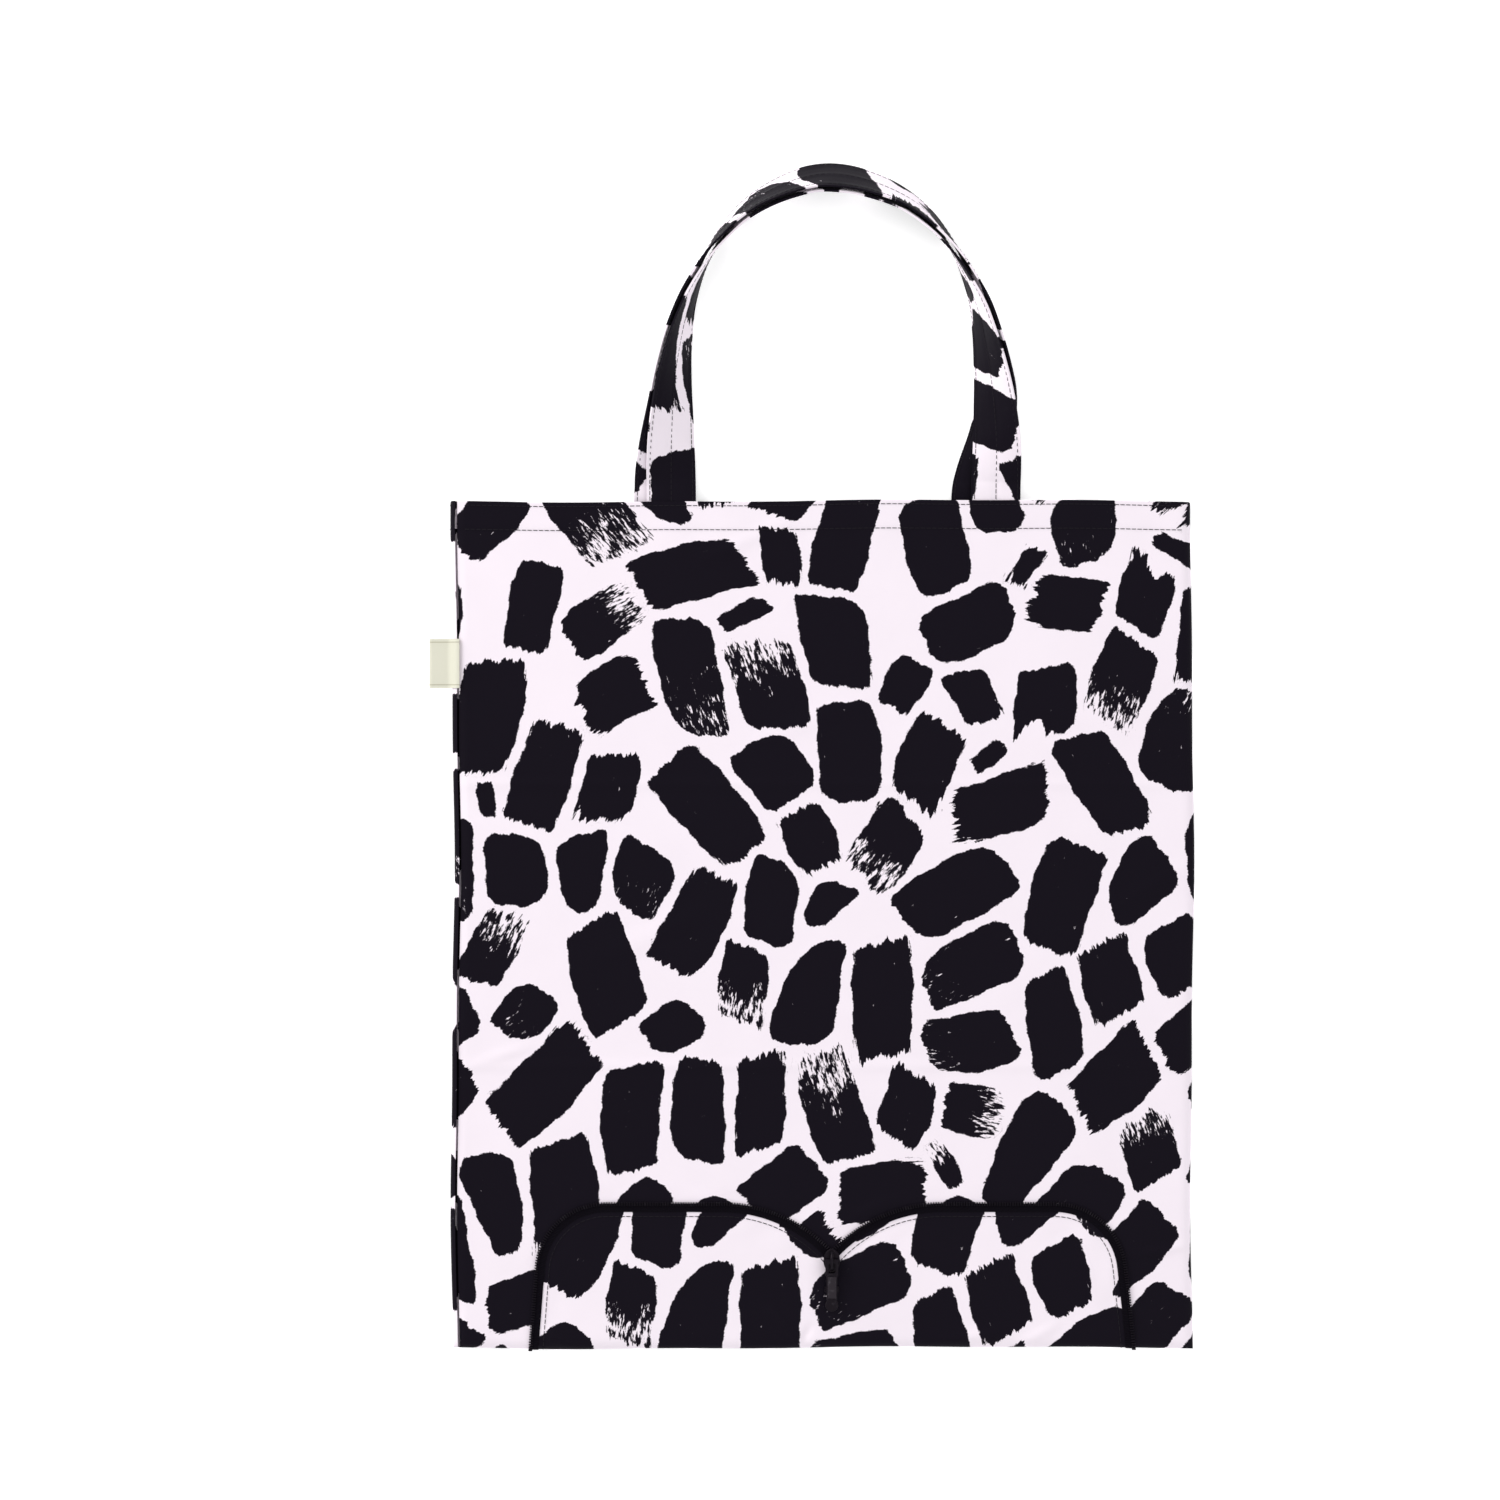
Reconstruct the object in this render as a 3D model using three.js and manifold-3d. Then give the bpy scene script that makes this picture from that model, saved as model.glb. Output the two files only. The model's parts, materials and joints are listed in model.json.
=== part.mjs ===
// Foldable tote bag: two cloth panels joined at the sides, a zip-round pouch in the bottom edge,
// and two strap handles sewn into the top hems.
//
// Units are millimetres. The bag lies on its back: +X to the right as the front is seen, +Y
// towards the handles, +Z out of the front panel. The origin is the centre of the back panel's
// outer face, so the bag rests on z = 0.
//
// The bag folds in thirds, like a letter: the middle third turns over onto the lower one, and the
// upper third turns back on top of it. Each cloth panel is therefore three pieces, one to a third.

import * as THREE from "three";
import { mergeVertices } from "three/addons/utils/BufferGeometryUtils.js";
import Module from "manifold-3d";

const wasm = await Module();
wasm.setup();

// Driving dimensions.
const BAG_WIDTH = 376;
const BAG_HEIGHT = 430;
const BAG_THICKNESS = 6.6; // the empty bag as it lies, outside to outside
const CLOTH = 0.7; // one panel
const HEM_CLOTH = 1.0; // the panel turned over on itself
const HEM_DEPTH = 13.7;
const SEAM_WIDTH = 3.7; // the bound edge down each side
const GAP = 0.3; // between pieces that touch
const THIRDS = 3;

const STRAP_WIDTH = 25;
const STRAP_THICKNESS = 1.2;
const STRAP_STEPS = 60;
const STRAP_TURN = (124 * Math.PI) / 180; // how far the strap has turned over at its crown
const STRAP_SPACING = 2.8; // from one handle's strap to the other's
const FLAT_SHARE = 0.04; // the strap lies flat this share of the way from foot to crown
const SHIFT_SHARE = 0.3; // and the back strap is in line with the front one by this share

const SPINE_X = 4.5; // the pouch's spine, a little right of the bag's centre
const POUCH_HEIGHT = 74; // the pouch's half that shows on one face
const POUCH_HALF_WIDTH = 154; // from the spine to the zip, at the bottom edge
const CORNER_RADIUS = 36;
const WALL_LEAN = (5.3 * Math.PI) / 180; // the zip's upright stretch leans in by this much
const SPINE_ARC_RADIUS = 77; // the arc that dips to the spine
const SPINE_ARC_REACH = 56; // from the spine to that arc's highest point
const TAPE_WIDTH = 4.7; // from the zip's line to the edge of the pouch cover
const TEETH_WIDTH = 1.8;
const TEETH_HEIGHT = 1.3;
const ARC_STEPS = 10;

const SLIDER_TRAVEL = 12; // down the meshed teeth, to the bottom stop
const SLIDER_LENGTH = 12;
const SLIDER_WIDTH = 8.4;
const SLIDER_ROOF = 1.0;
const BRIDGE_WIDTH = 1.6;
const BRIDGE_WIRE = 1.0;
const BRIDGE_LENGTH = 10;
const PULL_LENGTH = 26;
const PULL_WIDTH = 7;
const PULL_THICKNESS = 1.3;
const PULL_BAR = 0.7; // half the bar that turns in the bridge
const PULL_DROOP = (5.5 * Math.PI) / 180;

const LABEL_LENGTH = 25;
const LABEL_REACH = 12; // past the bag's edge
const LABEL_THICKNESS = 0.8;
const LABEL_Y = 133;

// Places that follow from them.
const HALF_WIDTH = BAG_WIDTH / 2;
const TOP_Y = BAG_HEIGHT / 2;
const BOTTOM_Y = -BAG_HEIGHT / 2;
const PANEL_HALF = HALF_WIDTH - SEAM_WIDTH - GAP;
const HEM_Y = TOP_Y - HEM_DEPTH;
const THIRD = BAG_HEIGHT / THIRDS;
const LOWER_CREASE = BOTTOM_Y + THIRD;
const UPPER_CREASE = LOWER_CREASE + THIRD;
const BOTTOM_FOLD = 1.2; // cloth that turns round the bottom edge
const PANEL_BOTTOM = BOTTOM_Y + BOTTOM_FOLD + GAP;
const FRONT_Z = BAG_THICKNESS - CLOTH;
const TEETH_Z = BAG_THICKNESS + GAP;
const SPINE_DIP = POUCH_HEIGHT - SPINE_ARC_RADIUS + Math.sqrt(SPINE_ARC_RADIUS ** 2 - SPINE_ARC_REACH ** 2);
const DIP_Y = BOTTOM_Y + SPINE_DIP;
const FRONT_STRAP_Z = BAG_THICKNESS - HEM_CLOTH - GAP - STRAP_THICKNESS / 2;

const cloth = new THREE.MeshStandardMaterial({ color: 0xfaf0f9, roughness: 0.75, metalness: 0 });
const printed = new THREE.MeshStandardMaterial({ color: 0x2a2530, roughness: 0.75, metalness: 0 });
const tape = new THREE.MeshStandardMaterial({ color: 0x1a171d, roughness: 0.8, metalness: 0 });
const teeth = new THREE.MeshStandardMaterial({ color: 0x16151a, roughness: 0.4, metalness: 0 });
const enamel = new THREE.MeshStandardMaterial({ color: 0x18171c, roughness: 0.35, metalness: 0.6 });
const ribbon = new THREE.MeshStandardMaterial({ color: 0xe1e0d0, roughness: 0.7, metalness: 0 });

const bag = new THREE.Group();

function add(name, geometry, material) {
  const mesh = new THREE.Mesh(geometry, material);
  mesh.name = name;
  bag.add(mesh);
  return mesh;
}

function boxBetween([x0, x1], [y0, y1], [z0, z1]) {
  const geometry = new THREE.BoxGeometry(x1 - x0, y1 - y0, z1 - z0);
  return geometry.translate((x0 + x1) / 2, (y0 + y1) / 2, (z0 + z1) / 2);
}

// A flat piece with the given outline, from z0 up to z1.
function sheet(points, [z0, z1], holes = []) {
  const shape = new THREE.Shape(points);
  shape.holes = holes.map((hole) => new THREE.Path(hole));
  const geometry = new THREE.ExtrudeGeometry(shape, { depth: z1 - z0, bevelEnabled: false });
  return geometry.translate(0, 0, z0);
}

function solidOf(geometry) {
  const bare = geometry.clone();
  bare.deleteAttribute("normal");
  bare.deleteAttribute("uv");
  const merged = mergeVertices(bare, 1e-3);
  const mesh = new wasm.Mesh({
    numProp: 3,
    vertProperties: new Float32Array(merged.attributes.position.array),
    triVerts: new Uint32Array(merged.index.array),
  });
  return new wasm.Manifold(mesh);
}

function geometryOf(solid) {
  const mesh = solid.getMesh();
  const geometry = new THREE.BufferGeometry();
  geometry.setAttribute("position", new THREE.BufferAttribute(mesh.vertProperties, 3));
  geometry.setIndex(new THREE.BufferAttribute(mesh.triVerts, 1));
  return geometry;
}

function joined(pieces) {
  const [first, ...rest] = pieces.map(solidOf);
  return geometryOf(rest.reduce((whole, piece) => whole.add(piece), first));
}

// The zip's path round one half of the pouch, from the spine to the bottom edge, moved in towards
// the pouch's middle by inset. side is 1 on the right of the spine and -1 on the left.
function zipPath(side, inset, bottomY, fromSpine = 0) {
  const cornerY = POUCH_HEIGHT - CORNER_RADIUS;
  const cornerX = POUCH_HALF_WIDTH - (CORNER_RADIUS + cornerY * Math.sin(WALL_LEAN)) / Math.cos(WALL_LEAN);
  const cornerArc = CORNER_RADIUS - inset;
  const spineArc = SPINE_ARC_RADIUS - inset;
  const bottom = bottomY - BOTTOM_Y;
  const bottomX = cornerX + (cornerArc - (bottom - cornerY) * Math.sin(WALL_LEAN)) / Math.cos(WALL_LEAN);
  const dipAngle = Math.acos((fromSpine - SPINE_ARC_REACH) / spineArc);
  const path = new THREE.Path();
  path.absarc(SPINE_ARC_REACH, POUCH_HEIGHT - SPINE_ARC_RADIUS, spineArc, dipAngle, Math.PI / 2, true);
  path.absarc(cornerX, cornerY, cornerArc, Math.PI / 2, WALL_LEAN, true);
  path.lineTo(bottomX, bottom);
  return path.getPoints(ARC_STEPS).map((p) => new THREE.Vector2(SPINE_X + side * p.x, BOTTOM_Y + p.y));
}

// The strip between two insets of that path, stopping short of the spine.
function zipStrip(side, insets, bottomY, zRange, fromSpine = GAP / 2) {
  const outer = zipPath(side, insets[0], bottomY, fromSpine);
  const inner = zipPath(side, insets[1], bottomY, fromSpine);
  return sheet([...outer, ...inner.reverse()], zRange);
}

// Cloth panels, one piece to a third of the bag.
function panelThird(name, yRange, zRange) {
  add(name, boxBetween([-PANEL_HALF, PANEL_HALF], yRange, zRange), cloth);
}

const frontCloth = [FRONT_Z, BAG_THICKNESS];
const backCloth = [0, CLOTH];
const middleY = [LOWER_CREASE + GAP / 2, UPPER_CREASE - GAP / 2];
const upperY = [UPPER_CREASE + GAP / 2, HEM_Y];

// The lower third is cut away round the pouch.
function lowerPanel(name, zRange) {
  const left = zipPath(-1, 0, PANEL_BOTTOM).reverse();
  const right = zipPath(1, 0, PANEL_BOTTOM);
  const top = LOWER_CREASE - GAP / 2;
  const corners = [
    new THREE.Vector2(PANEL_HALF, PANEL_BOTTOM),
    new THREE.Vector2(PANEL_HALF, top),
    new THREE.Vector2(-PANEL_HALF, top),
    new THREE.Vector2(-PANEL_HALF, PANEL_BOTTOM),
  ];
  add(name, sheet([...left, ...right.slice(1), ...corners], zRange), cloth);
}

lowerPanel("front_panel_lower", frontCloth);
lowerPanel("back_panel_lower", backCloth);
panelThird("front_panel_middle", middleY, frontCloth);
panelThird("back_panel_middle", middleY, backCloth);
panelThird("front_panel_upper", upperY, frontCloth);
panelThird("back_panel_upper", upperY, backCloth);

// Top hems, the cloth turned over on itself.
const hemY = [HEM_Y + GAP, TOP_Y];
add(
  "front_top_hem",
  boxBetween([-PANEL_HALF, PANEL_HALF], hemY, [BAG_THICKNESS - HEM_CLOTH, BAG_THICKNESS]),
  cloth,
);
add("back_top_hem", boxBetween([-PANEL_HALF, PANEL_HALF], hemY, [0, HEM_CLOTH]), cloth);

// Side seams, which close the bag from front to back.
const seamThirds = {
  lower: [BOTTOM_Y, LOWER_CREASE - GAP / 2],
  middle: middleY,
  upper: [UPPER_CREASE + GAP / 2, TOP_Y],
};
for (const [third, yRange] of Object.entries(seamThirds)) {
  const depth = [0, BAG_THICKNESS];
  add("left_side_seam_" + third, boxBetween([-HALF_WIDTH, -HALF_WIDTH + SEAM_WIDTH], yRange, depth), cloth);
  add("right_side_seam_" + third, boxBetween([HALF_WIDTH - SEAM_WIDTH, HALF_WIDTH], yRange, depth), cloth);
}

// The pouch: its cover on each face, and the cloth that turns round the bottom edge between them.
function pouchCover(name, zRange) {
  const inset = TAPE_WIDTH + GAP;
  const left = zipPath(-1, inset, PANEL_BOTTOM).reverse();
  const right = zipPath(1, inset, PANEL_BOTTOM);
  add(name, sheet([...left, ...right.slice(1)], zRange), printed);
}

pouchCover("pouch_cover_front", frontCloth);
pouchCover("pouch_cover_back", backCloth);

const coverHalf = Math.abs(zipPath(1, TAPE_WIDTH + GAP, BOTTOM_Y).at(-1).x - SPINE_X);
const bottomStrip = [BOTTOM_Y, BOTTOM_Y + BOTTOM_FOLD];
const bottomDepth = [0, BAG_THICKNESS];
add(
  "pouch_bottom_fold",
  boxBetween([SPINE_X - coverHalf, SPINE_X + coverHalf], bottomStrip, bottomDepth),
  printed,
);
const zipHalf = POUCH_HALF_WIDTH + 2 * GAP;
add(
  "left_bottom_corner",
  boxBetween([-PANEL_HALF, SPINE_X - zipHalf], bottomStrip, bottomDepth),
  cloth,
);
add(
  "right_bottom_corner",
  boxBetween([SPINE_X + zipHalf, PANEL_HALF], bottomStrip, bottomDepth),
  cloth,
);

// The zip. Each half runs round its side of the pouch on the front, under the bottom edge, and
// round again on the back, where it is let into the cloth so that the bag lies flat.
const BACK_ZIP_Z = 0.25;
const BACK_TEETH_HEIGHT = 0.9;
const LINK_Y = BOTTOM_Y - 0.9; // the lowest point of the zip's turn round the bottom edge
const LINK_OVERLAP = 0.6; // the turn reaches this far up each face's strip
const STOP_LENGTH = 2.6;

function zipHalfPiece(insets, frontZ, backZ, backFromSpine) {
  return (side) => {
    const front = zipStrip(side, insets.front, LINK_Y, frontZ);
    const back = zipStrip(side, insets.back, LINK_Y, backZ, backFromSpine);
    const ends = [insets.front[0], insets.front[1], insets.back[0], insets.back[1]];
    const xs = ends.map((inset) => zipPath(side, inset, LINK_Y).at(-1).x);
    const linkX = [Math.min(...xs), Math.max(...xs)];
    const link = boxBetween(linkX, [LINK_Y, BOTTOM_Y + LINK_OVERLAP], [backZ[0], frontZ[1]]);
    return [front, back, link];
  };
}

const tapeHalf = zipHalfPiece(
  { front: [TEETH_WIDTH + GAP, TAPE_WIDTH], back: [TEETH_WIDTH + 2 * GAP, TAPE_WIDTH] },
  frontCloth,
  [BACK_ZIP_Z, BACK_ZIP_Z + CLOTH],
  GAP / 2,
);
const teethHalf = zipHalfPiece(
  { front: [0, TEETH_WIDTH], back: [GAP, TEETH_WIDTH] },
  [TEETH_Z, TEETH_Z + TEETH_HEIGHT],
  [BACK_ZIP_Z, BACK_ZIP_Z + BACK_TEETH_HEIGHT],
  STOP_LENGTH + GAP,
);

// The slider's legs stand on each side of the meshed teeth.
const LEG_WIDTH = 0.9;
const LEG_TOP_DROP = 2.0; // from the dip down to the legs' top
const LEG_LENGTH = 4.2;
const LEG_CLEARANCE = 0.7; // from the teeth to a leg
const legTop = DIP_Y - LEG_TOP_DROP;
const legBottom = legTop - LEG_LENGTH;
const channelHalf = TEETH_WIDTH + GAP / 2 + LEG_CLEARANCE;
const stopTop = legBottom - SLIDER_TRAVEL - GAP;

// Below the dip the two rows of teeth lie side by side, meshed, down to the bottom stop.
const MESHED_TOP = DIP_Y - 0.4;

function joinedTeeth(side) {
  const x = [SPINE_X + (side * GAP) / 2, SPINE_X + side * (TEETH_WIDTH + GAP / 2)].sort((a, b) => a - b);
  return boxBetween(x, [stopTop + GAP, MESHED_TOP], [TEETH_Z, TEETH_Z + TEETH_HEIGHT]);
}

const sides = { left: -1, right: 1 };
for (const [name, side] of Object.entries(sides)) {
  add("zip_tape_" + name, joined(tapeHalf(side)), tape);
  add("zip_teeth_" + name, joined([...teethHalf(side), joinedTeeth(side)]), teeth);
}

const stopHalf = channelHalf + LEG_WIDTH;
add(
  "zip_bottom_stop",
  boxBetween(
    [SPINE_X - stopHalf, SPINE_X + stopHalf],
    [stopTop - STOP_LENGTH, stopTop],
    [TEETH_Z, TEETH_Z + TEETH_HEIGHT],
  ),
  enamel,
);

// A top stop closes the end of each row, beside the spine on the back.
function topStop(side) {
  const arcY = (x, inset) => {
    const radius = SPINE_ARC_RADIUS - inset;
    return BOTTOM_Y + POUCH_HEIGHT - SPINE_ARC_RADIUS + Math.sqrt(radius ** 2 - (SPINE_ARC_REACH - x) ** 2);
  };
  const corner = (x, inset) => new THREE.Vector2(SPINE_X + side * x, arcY(x, inset));
  const ends = [GAP / 2, STOP_LENGTH];
  const outline = [
    corner(ends[0], GAP),
    corner(ends[1], GAP),
    corner(ends[1], TEETH_WIDTH),
    corner(ends[0], TEETH_WIDTH),
  ];
  return sheet(outline, [BACK_ZIP_Z, BACK_ZIP_Z + BACK_TEETH_HEIGHT]);
}

for (const [name, side] of Object.entries(sides)) {
  add("zip_top_stop_" + name, topStop(side), enamel);
}

// The slider straddles the meshed teeth: a roof on two legs, open underneath.
const SLIDER_ABOVE_DIP = 1.0;
const sliderTop = DIP_Y + SLIDER_ABOVE_DIP;
const sliderBottom = sliderTop - SLIDER_LENGTH;
const roofZ = TEETH_Z + TEETH_HEIGHT + GAP;

function sliderRoof() {
  const middle = (sliderTop + sliderBottom) / 2;
  const shape = new THREE.Shape();
  shape.absellipse(SPINE_X, middle, SLIDER_WIDTH / 2, SLIDER_LENGTH / 2, 0, 2 * Math.PI, false, 0);
  return sheet(shape.getPoints(12).slice(0, -1), [roofZ, roofZ + SLIDER_ROOF]);
}

function sliderLeg(side) {
  const x = [SPINE_X + side * channelHalf, SPINE_X + side * (channelHalf + LEG_WIDTH)].sort((a, b) => a - b);
  return boxBetween(x, [legBottom, legTop], [TEETH_Z, roofZ + SLIDER_ROOF / 2]);
}

add("zip_slider_body", joined([sliderRoof(), sliderLeg(-1), sliderLeg(1)]), enamel);

// The bridge is the arch on the roof that the pull hangs from.
const hingeY = (sliderTop + sliderBottom) / 2;
const HINGE_ABOVE_ROOF = 1.75;
const BRIDGE_ABOVE_HINGE = 1.3; // to the underside of the arch
const BRIDGE_CORNER = 1.4; // the arch's outer corners are cut off by this much
const BRIDGE_INNER_CORNER = 0.9;
const BRIDGE_INNER_STRAIGHT = 0.8; // its sides stand straight this far above the hinge, inside
const BRIDGE_OUTER_STRAIGHT = 1.1; // and this far outside
const hingeZ = roofZ + SLIDER_ROOF + HINGE_ABOVE_ROOF;
const bridgeFoot = roofZ + SLIDER_ROOF + GAP;

function bridge() {
  const reach = BRIDGE_LENGTH / 2;
  const top = hingeZ + BRIDGE_ABOVE_HINGE + BRIDGE_WIRE;
  const innerCornerZ = hingeZ + BRIDGE_INNER_STRAIGHT;
  const outerCornerZ = hingeZ + BRIDGE_OUTER_STRAIGHT;
  const outline = [
    new THREE.Vector2(-reach, bridgeFoot),
    new THREE.Vector2(-reach + BRIDGE_WIRE, bridgeFoot),
    new THREE.Vector2(-reach + BRIDGE_WIRE, innerCornerZ),
    new THREE.Vector2(-reach + BRIDGE_WIRE + BRIDGE_INNER_CORNER, top - BRIDGE_WIRE),
    new THREE.Vector2(reach - BRIDGE_WIRE - BRIDGE_INNER_CORNER, top - BRIDGE_WIRE),
    new THREE.Vector2(reach - BRIDGE_WIRE, innerCornerZ),
    new THREE.Vector2(reach - BRIDGE_WIRE, bridgeFoot),
    new THREE.Vector2(reach, bridgeFoot),
    new THREE.Vector2(reach, outerCornerZ),
    new THREE.Vector2(reach - BRIDGE_CORNER, top),
    new THREE.Vector2(-reach + BRIDGE_CORNER, top),
    new THREE.Vector2(-reach, outerCornerZ),
  ];
  const geometry = sheet(outline, [-BRIDGE_WIDTH / 2, BRIDGE_WIDTH / 2]);
  geometry.rotateY(Math.PI / 2);
  geometry.rotateX(Math.PI / 2);
  return geometry.translate(SPINE_X, hingeY, 0);
}

add("zip_slider_bridge", bridge(), enamel);

// The pull lies down the pouch with its tip drooping, its bar through the bridge. It is drawn in
// at a waist between its eye and its blade.
const PULL_SHOULDER = 1; // the cut across each corner beside the bar, sideways
const PULL_EYE_TOP = -0.6; // and where that cut ends, down from the hinge
const PULL_WAIST = -8;
const PULL_WAIST_CUT = 0.6;
const PULL_BLADE_TOP = -10.5;
const PULL_TIP_RADIUS = 2.4;
const EYE_SIDE_ROOM = 0.7; // from the bridge to the eye's edge, on each side
const EYE_END_ROOM = 1;

function pullTab() {
  const half = PULL_WIDTH / 2;
  const tipX = half - PULL_TIP_RADIUS;
  const tipY = PULL_TIP_RADIUS - PULL_LENGTH;
  const outline = new THREE.Shape();
  outline.moveTo(-half + PULL_SHOULDER, PULL_BAR);
  outline.lineTo(-half, PULL_EYE_TOP);
  outline.lineTo(-half + PULL_WAIST_CUT, PULL_WAIST);
  outline.lineTo(-half, PULL_BLADE_TOP);
  outline.lineTo(-half, tipY);
  outline.absarc(-tipX, tipY, PULL_TIP_RADIUS, Math.PI, 1.5 * Math.PI, false);
  outline.absarc(tipX, tipY, PULL_TIP_RADIUS, 1.5 * Math.PI, 2 * Math.PI, false);
  outline.lineTo(half, PULL_BLADE_TOP);
  outline.lineTo(half - PULL_WAIST_CUT, PULL_WAIST);
  outline.lineTo(half, PULL_EYE_TOP);
  outline.lineTo(half - PULL_SHOULDER, PULL_BAR);
  const eyeHalf = BRIDGE_WIDTH / 2 + EYE_SIDE_ROOM;
  const eyeEnd = -(BRIDGE_LENGTH / 2 + EYE_END_ROOM);
  const eye = [
    new THREE.Vector2(-eyeHalf, -PULL_BAR),
    new THREE.Vector2(eyeHalf, -PULL_BAR),
    new THREE.Vector2(eyeHalf, eyeEnd),
    new THREE.Vector2(-eyeHalf, eyeEnd),
  ];
  const geometry = sheet(outline.getPoints(4), [-PULL_THICKNESS / 2, PULL_THICKNESS / 2], [eye]);
  geometry.rotateX(PULL_DROOP);
  return geometry.translate(SPINE_X, hingeY, hingeZ);
}

add("zip_pull_tab", pullTab(), enamel);

// Handles. Both straps follow one arch. A strap leaves the hem flat, turns up on edge at the
// shoulder and leans over at the crown.
const ARCH = new THREE.CatmullRomCurve3(
  [
    new THREE.Vector3(-77, TOP_Y + GAP, 0),
    new THREE.Vector3(-77, TOP_Y + 35, 0),
    new THREE.Vector3(-74.5, TOP_Y + 70, 0),
    new THREE.Vector3(-67, TOP_Y + 103, 0),
    new THREE.Vector3(-53, TOP_Y + 130, 0),
    new THREE.Vector3(-32, TOP_Y + 151, 0),
    new THREE.Vector3(2, TOP_Y + 163, 0),
    new THREE.Vector3(40, TOP_Y + 152, 0),
    new THREE.Vector3(63, TOP_Y + 130, 0),
    new THREE.Vector3(77, TOP_Y + 103, 0),
    new THREE.Vector3(84.5, TOP_Y + 70, 0),
    new THREE.Vector3(88, TOP_Y + 35, 0),
    new THREE.Vector3(88, TOP_Y + GAP, 0),
  ],
  false,
  "centripetal",
);

// The back handle's feet stand 6.5 mm and 10 mm left of the front handle's.
const BACK_FOOT_SHIFT = [6.5, -10];
const UP = new THREE.Vector3(0, 0, 1);

// The strap's middle, width direction and face direction at share u of its length. The back
// handle's strap lies behind the front one, and comes in line with it above the feet.
function strapFrame(u, isBack) {
  const towardsCrown = 2 * Math.min(u, 1 - u);
  const turning = THREE.MathUtils.clamp((towardsCrown - FLAT_SHARE) / (1 - FLAT_SHARE), 0, 1);
  const turn = STRAP_TURN * (1 - (1 - turning) ** 1.5);
  const footShift = BACK_FOOT_SHIFT[u < 0.5 ? 0 : 1];
  const backShift = footShift * (1 - THREE.MathUtils.smoothstep(towardsCrown, 0, SHIFT_SHARE));
  const along = ARCH.getTangentAt(u);
  const outwards = new THREE.Vector3(-along.y, along.x, 0);
  const width = outwards.clone().multiplyScalar(Math.cos(turn)).addScaledVector(UP, Math.sin(turn));
  const face = UP.clone().multiplyScalar(Math.cos(turn)).addScaledVector(outwards, -Math.sin(turn));
  const middle = ARCH.getPointAt(u);
  const lowEdge = (STRAP_WIDTH / 2 + Math.max(0, -backShift)) * Math.sin(turn);
  const faceRoom = STRAP_SPACING * Math.max(0, Math.cos(turn)) + STRAP_THICKNESS;
  middle.z = Math.max(FRONT_STRAP_Z, lowEdge + faceRoom);
  if (isBack) middle.addScaledVector(face, -STRAP_SPACING).addScaledVector(width, backShift);
  return { middle, width, face };
}

function handleStrap(isBack) {
  const geometry = new THREE.BoxGeometry(1, STRAP_WIDTH, STRAP_THICKNESS, STRAP_STEPS, 1, 1);
  const position = geometry.attributes.position;
  const point = new THREE.Vector3();
  for (let i = 0; i < position.count; i += 1) {
    const { middle, width, face } = strapFrame(position.getX(i) + 0.5, isBack);
    point.copy(middle).addScaledVector(width, position.getY(i)).addScaledVector(face, position.getZ(i));
    position.setXYZ(i, point.x, point.y, point.z);
  }
  return geometry;
}

add("front_handle_strap", handleStrap(false), cloth);
add("back_handle_strap", handleStrap(true), cloth);

// The strap's ends, sewn to the inside of the hems.
function strapEnd(name, x, z) {
  const across = [x - STRAP_WIDTH / 2, x + STRAP_WIDTH / 2];
  add(name, boxBetween(across, hemY, [z - STRAP_THICKNESS / 2, z + STRAP_THICKNESS / 2]), cloth);
}

const frontFeet = [ARCH.getPoint(0).x, ARCH.getPoint(1).x];
const backStrapZ = FRONT_STRAP_Z - STRAP_SPACING;
strapEnd("front_strap_end_left", frontFeet[0], FRONT_STRAP_Z);
strapEnd("front_strap_end_right", frontFeet[1], FRONT_STRAP_Z);
strapEnd("back_strap_end_left", frontFeet[0] - BACK_FOOT_SHIFT[0], backStrapZ);
strapEnd("back_strap_end_right", frontFeet[1] + BACK_FOOT_SHIFT[1], backStrapZ);

// A blank fabric label, folded double and caught in the left side seam.
add(
  "side_label",
  boxBetween(
    [-HALF_WIDTH - LABEL_REACH, -HALF_WIDTH - GAP],
    [LABEL_Y - LABEL_LENGTH / 2, LABEL_Y + LABEL_LENGTH / 2],
    [BAG_THICKNESS / 2 - LABEL_THICKNESS / 2, BAG_THICKNESS / 2 + LABEL_THICKNESS / 2],
  ),
  ribbon,
);

export default bag;
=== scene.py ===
# %% [markdown]
# # A foldable tote bag, laid out flat
#
# The bag is two cloth panels sewn together at the sides, with two strap handles in its top hems and
# a zip-round pouch made out of its bottom edge. Everything soft is made here, around a fixed frame
# that holds the real sizes and the joints. The bag lies on its back, so +Z comes out of its front.
#
# Cloth this thin has almost no shape of its own. What the eye reads is the outline, the print, the
# stitching and a few soft creases, so that is where the work goes.

# %% Load the frame
import json
import math

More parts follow.
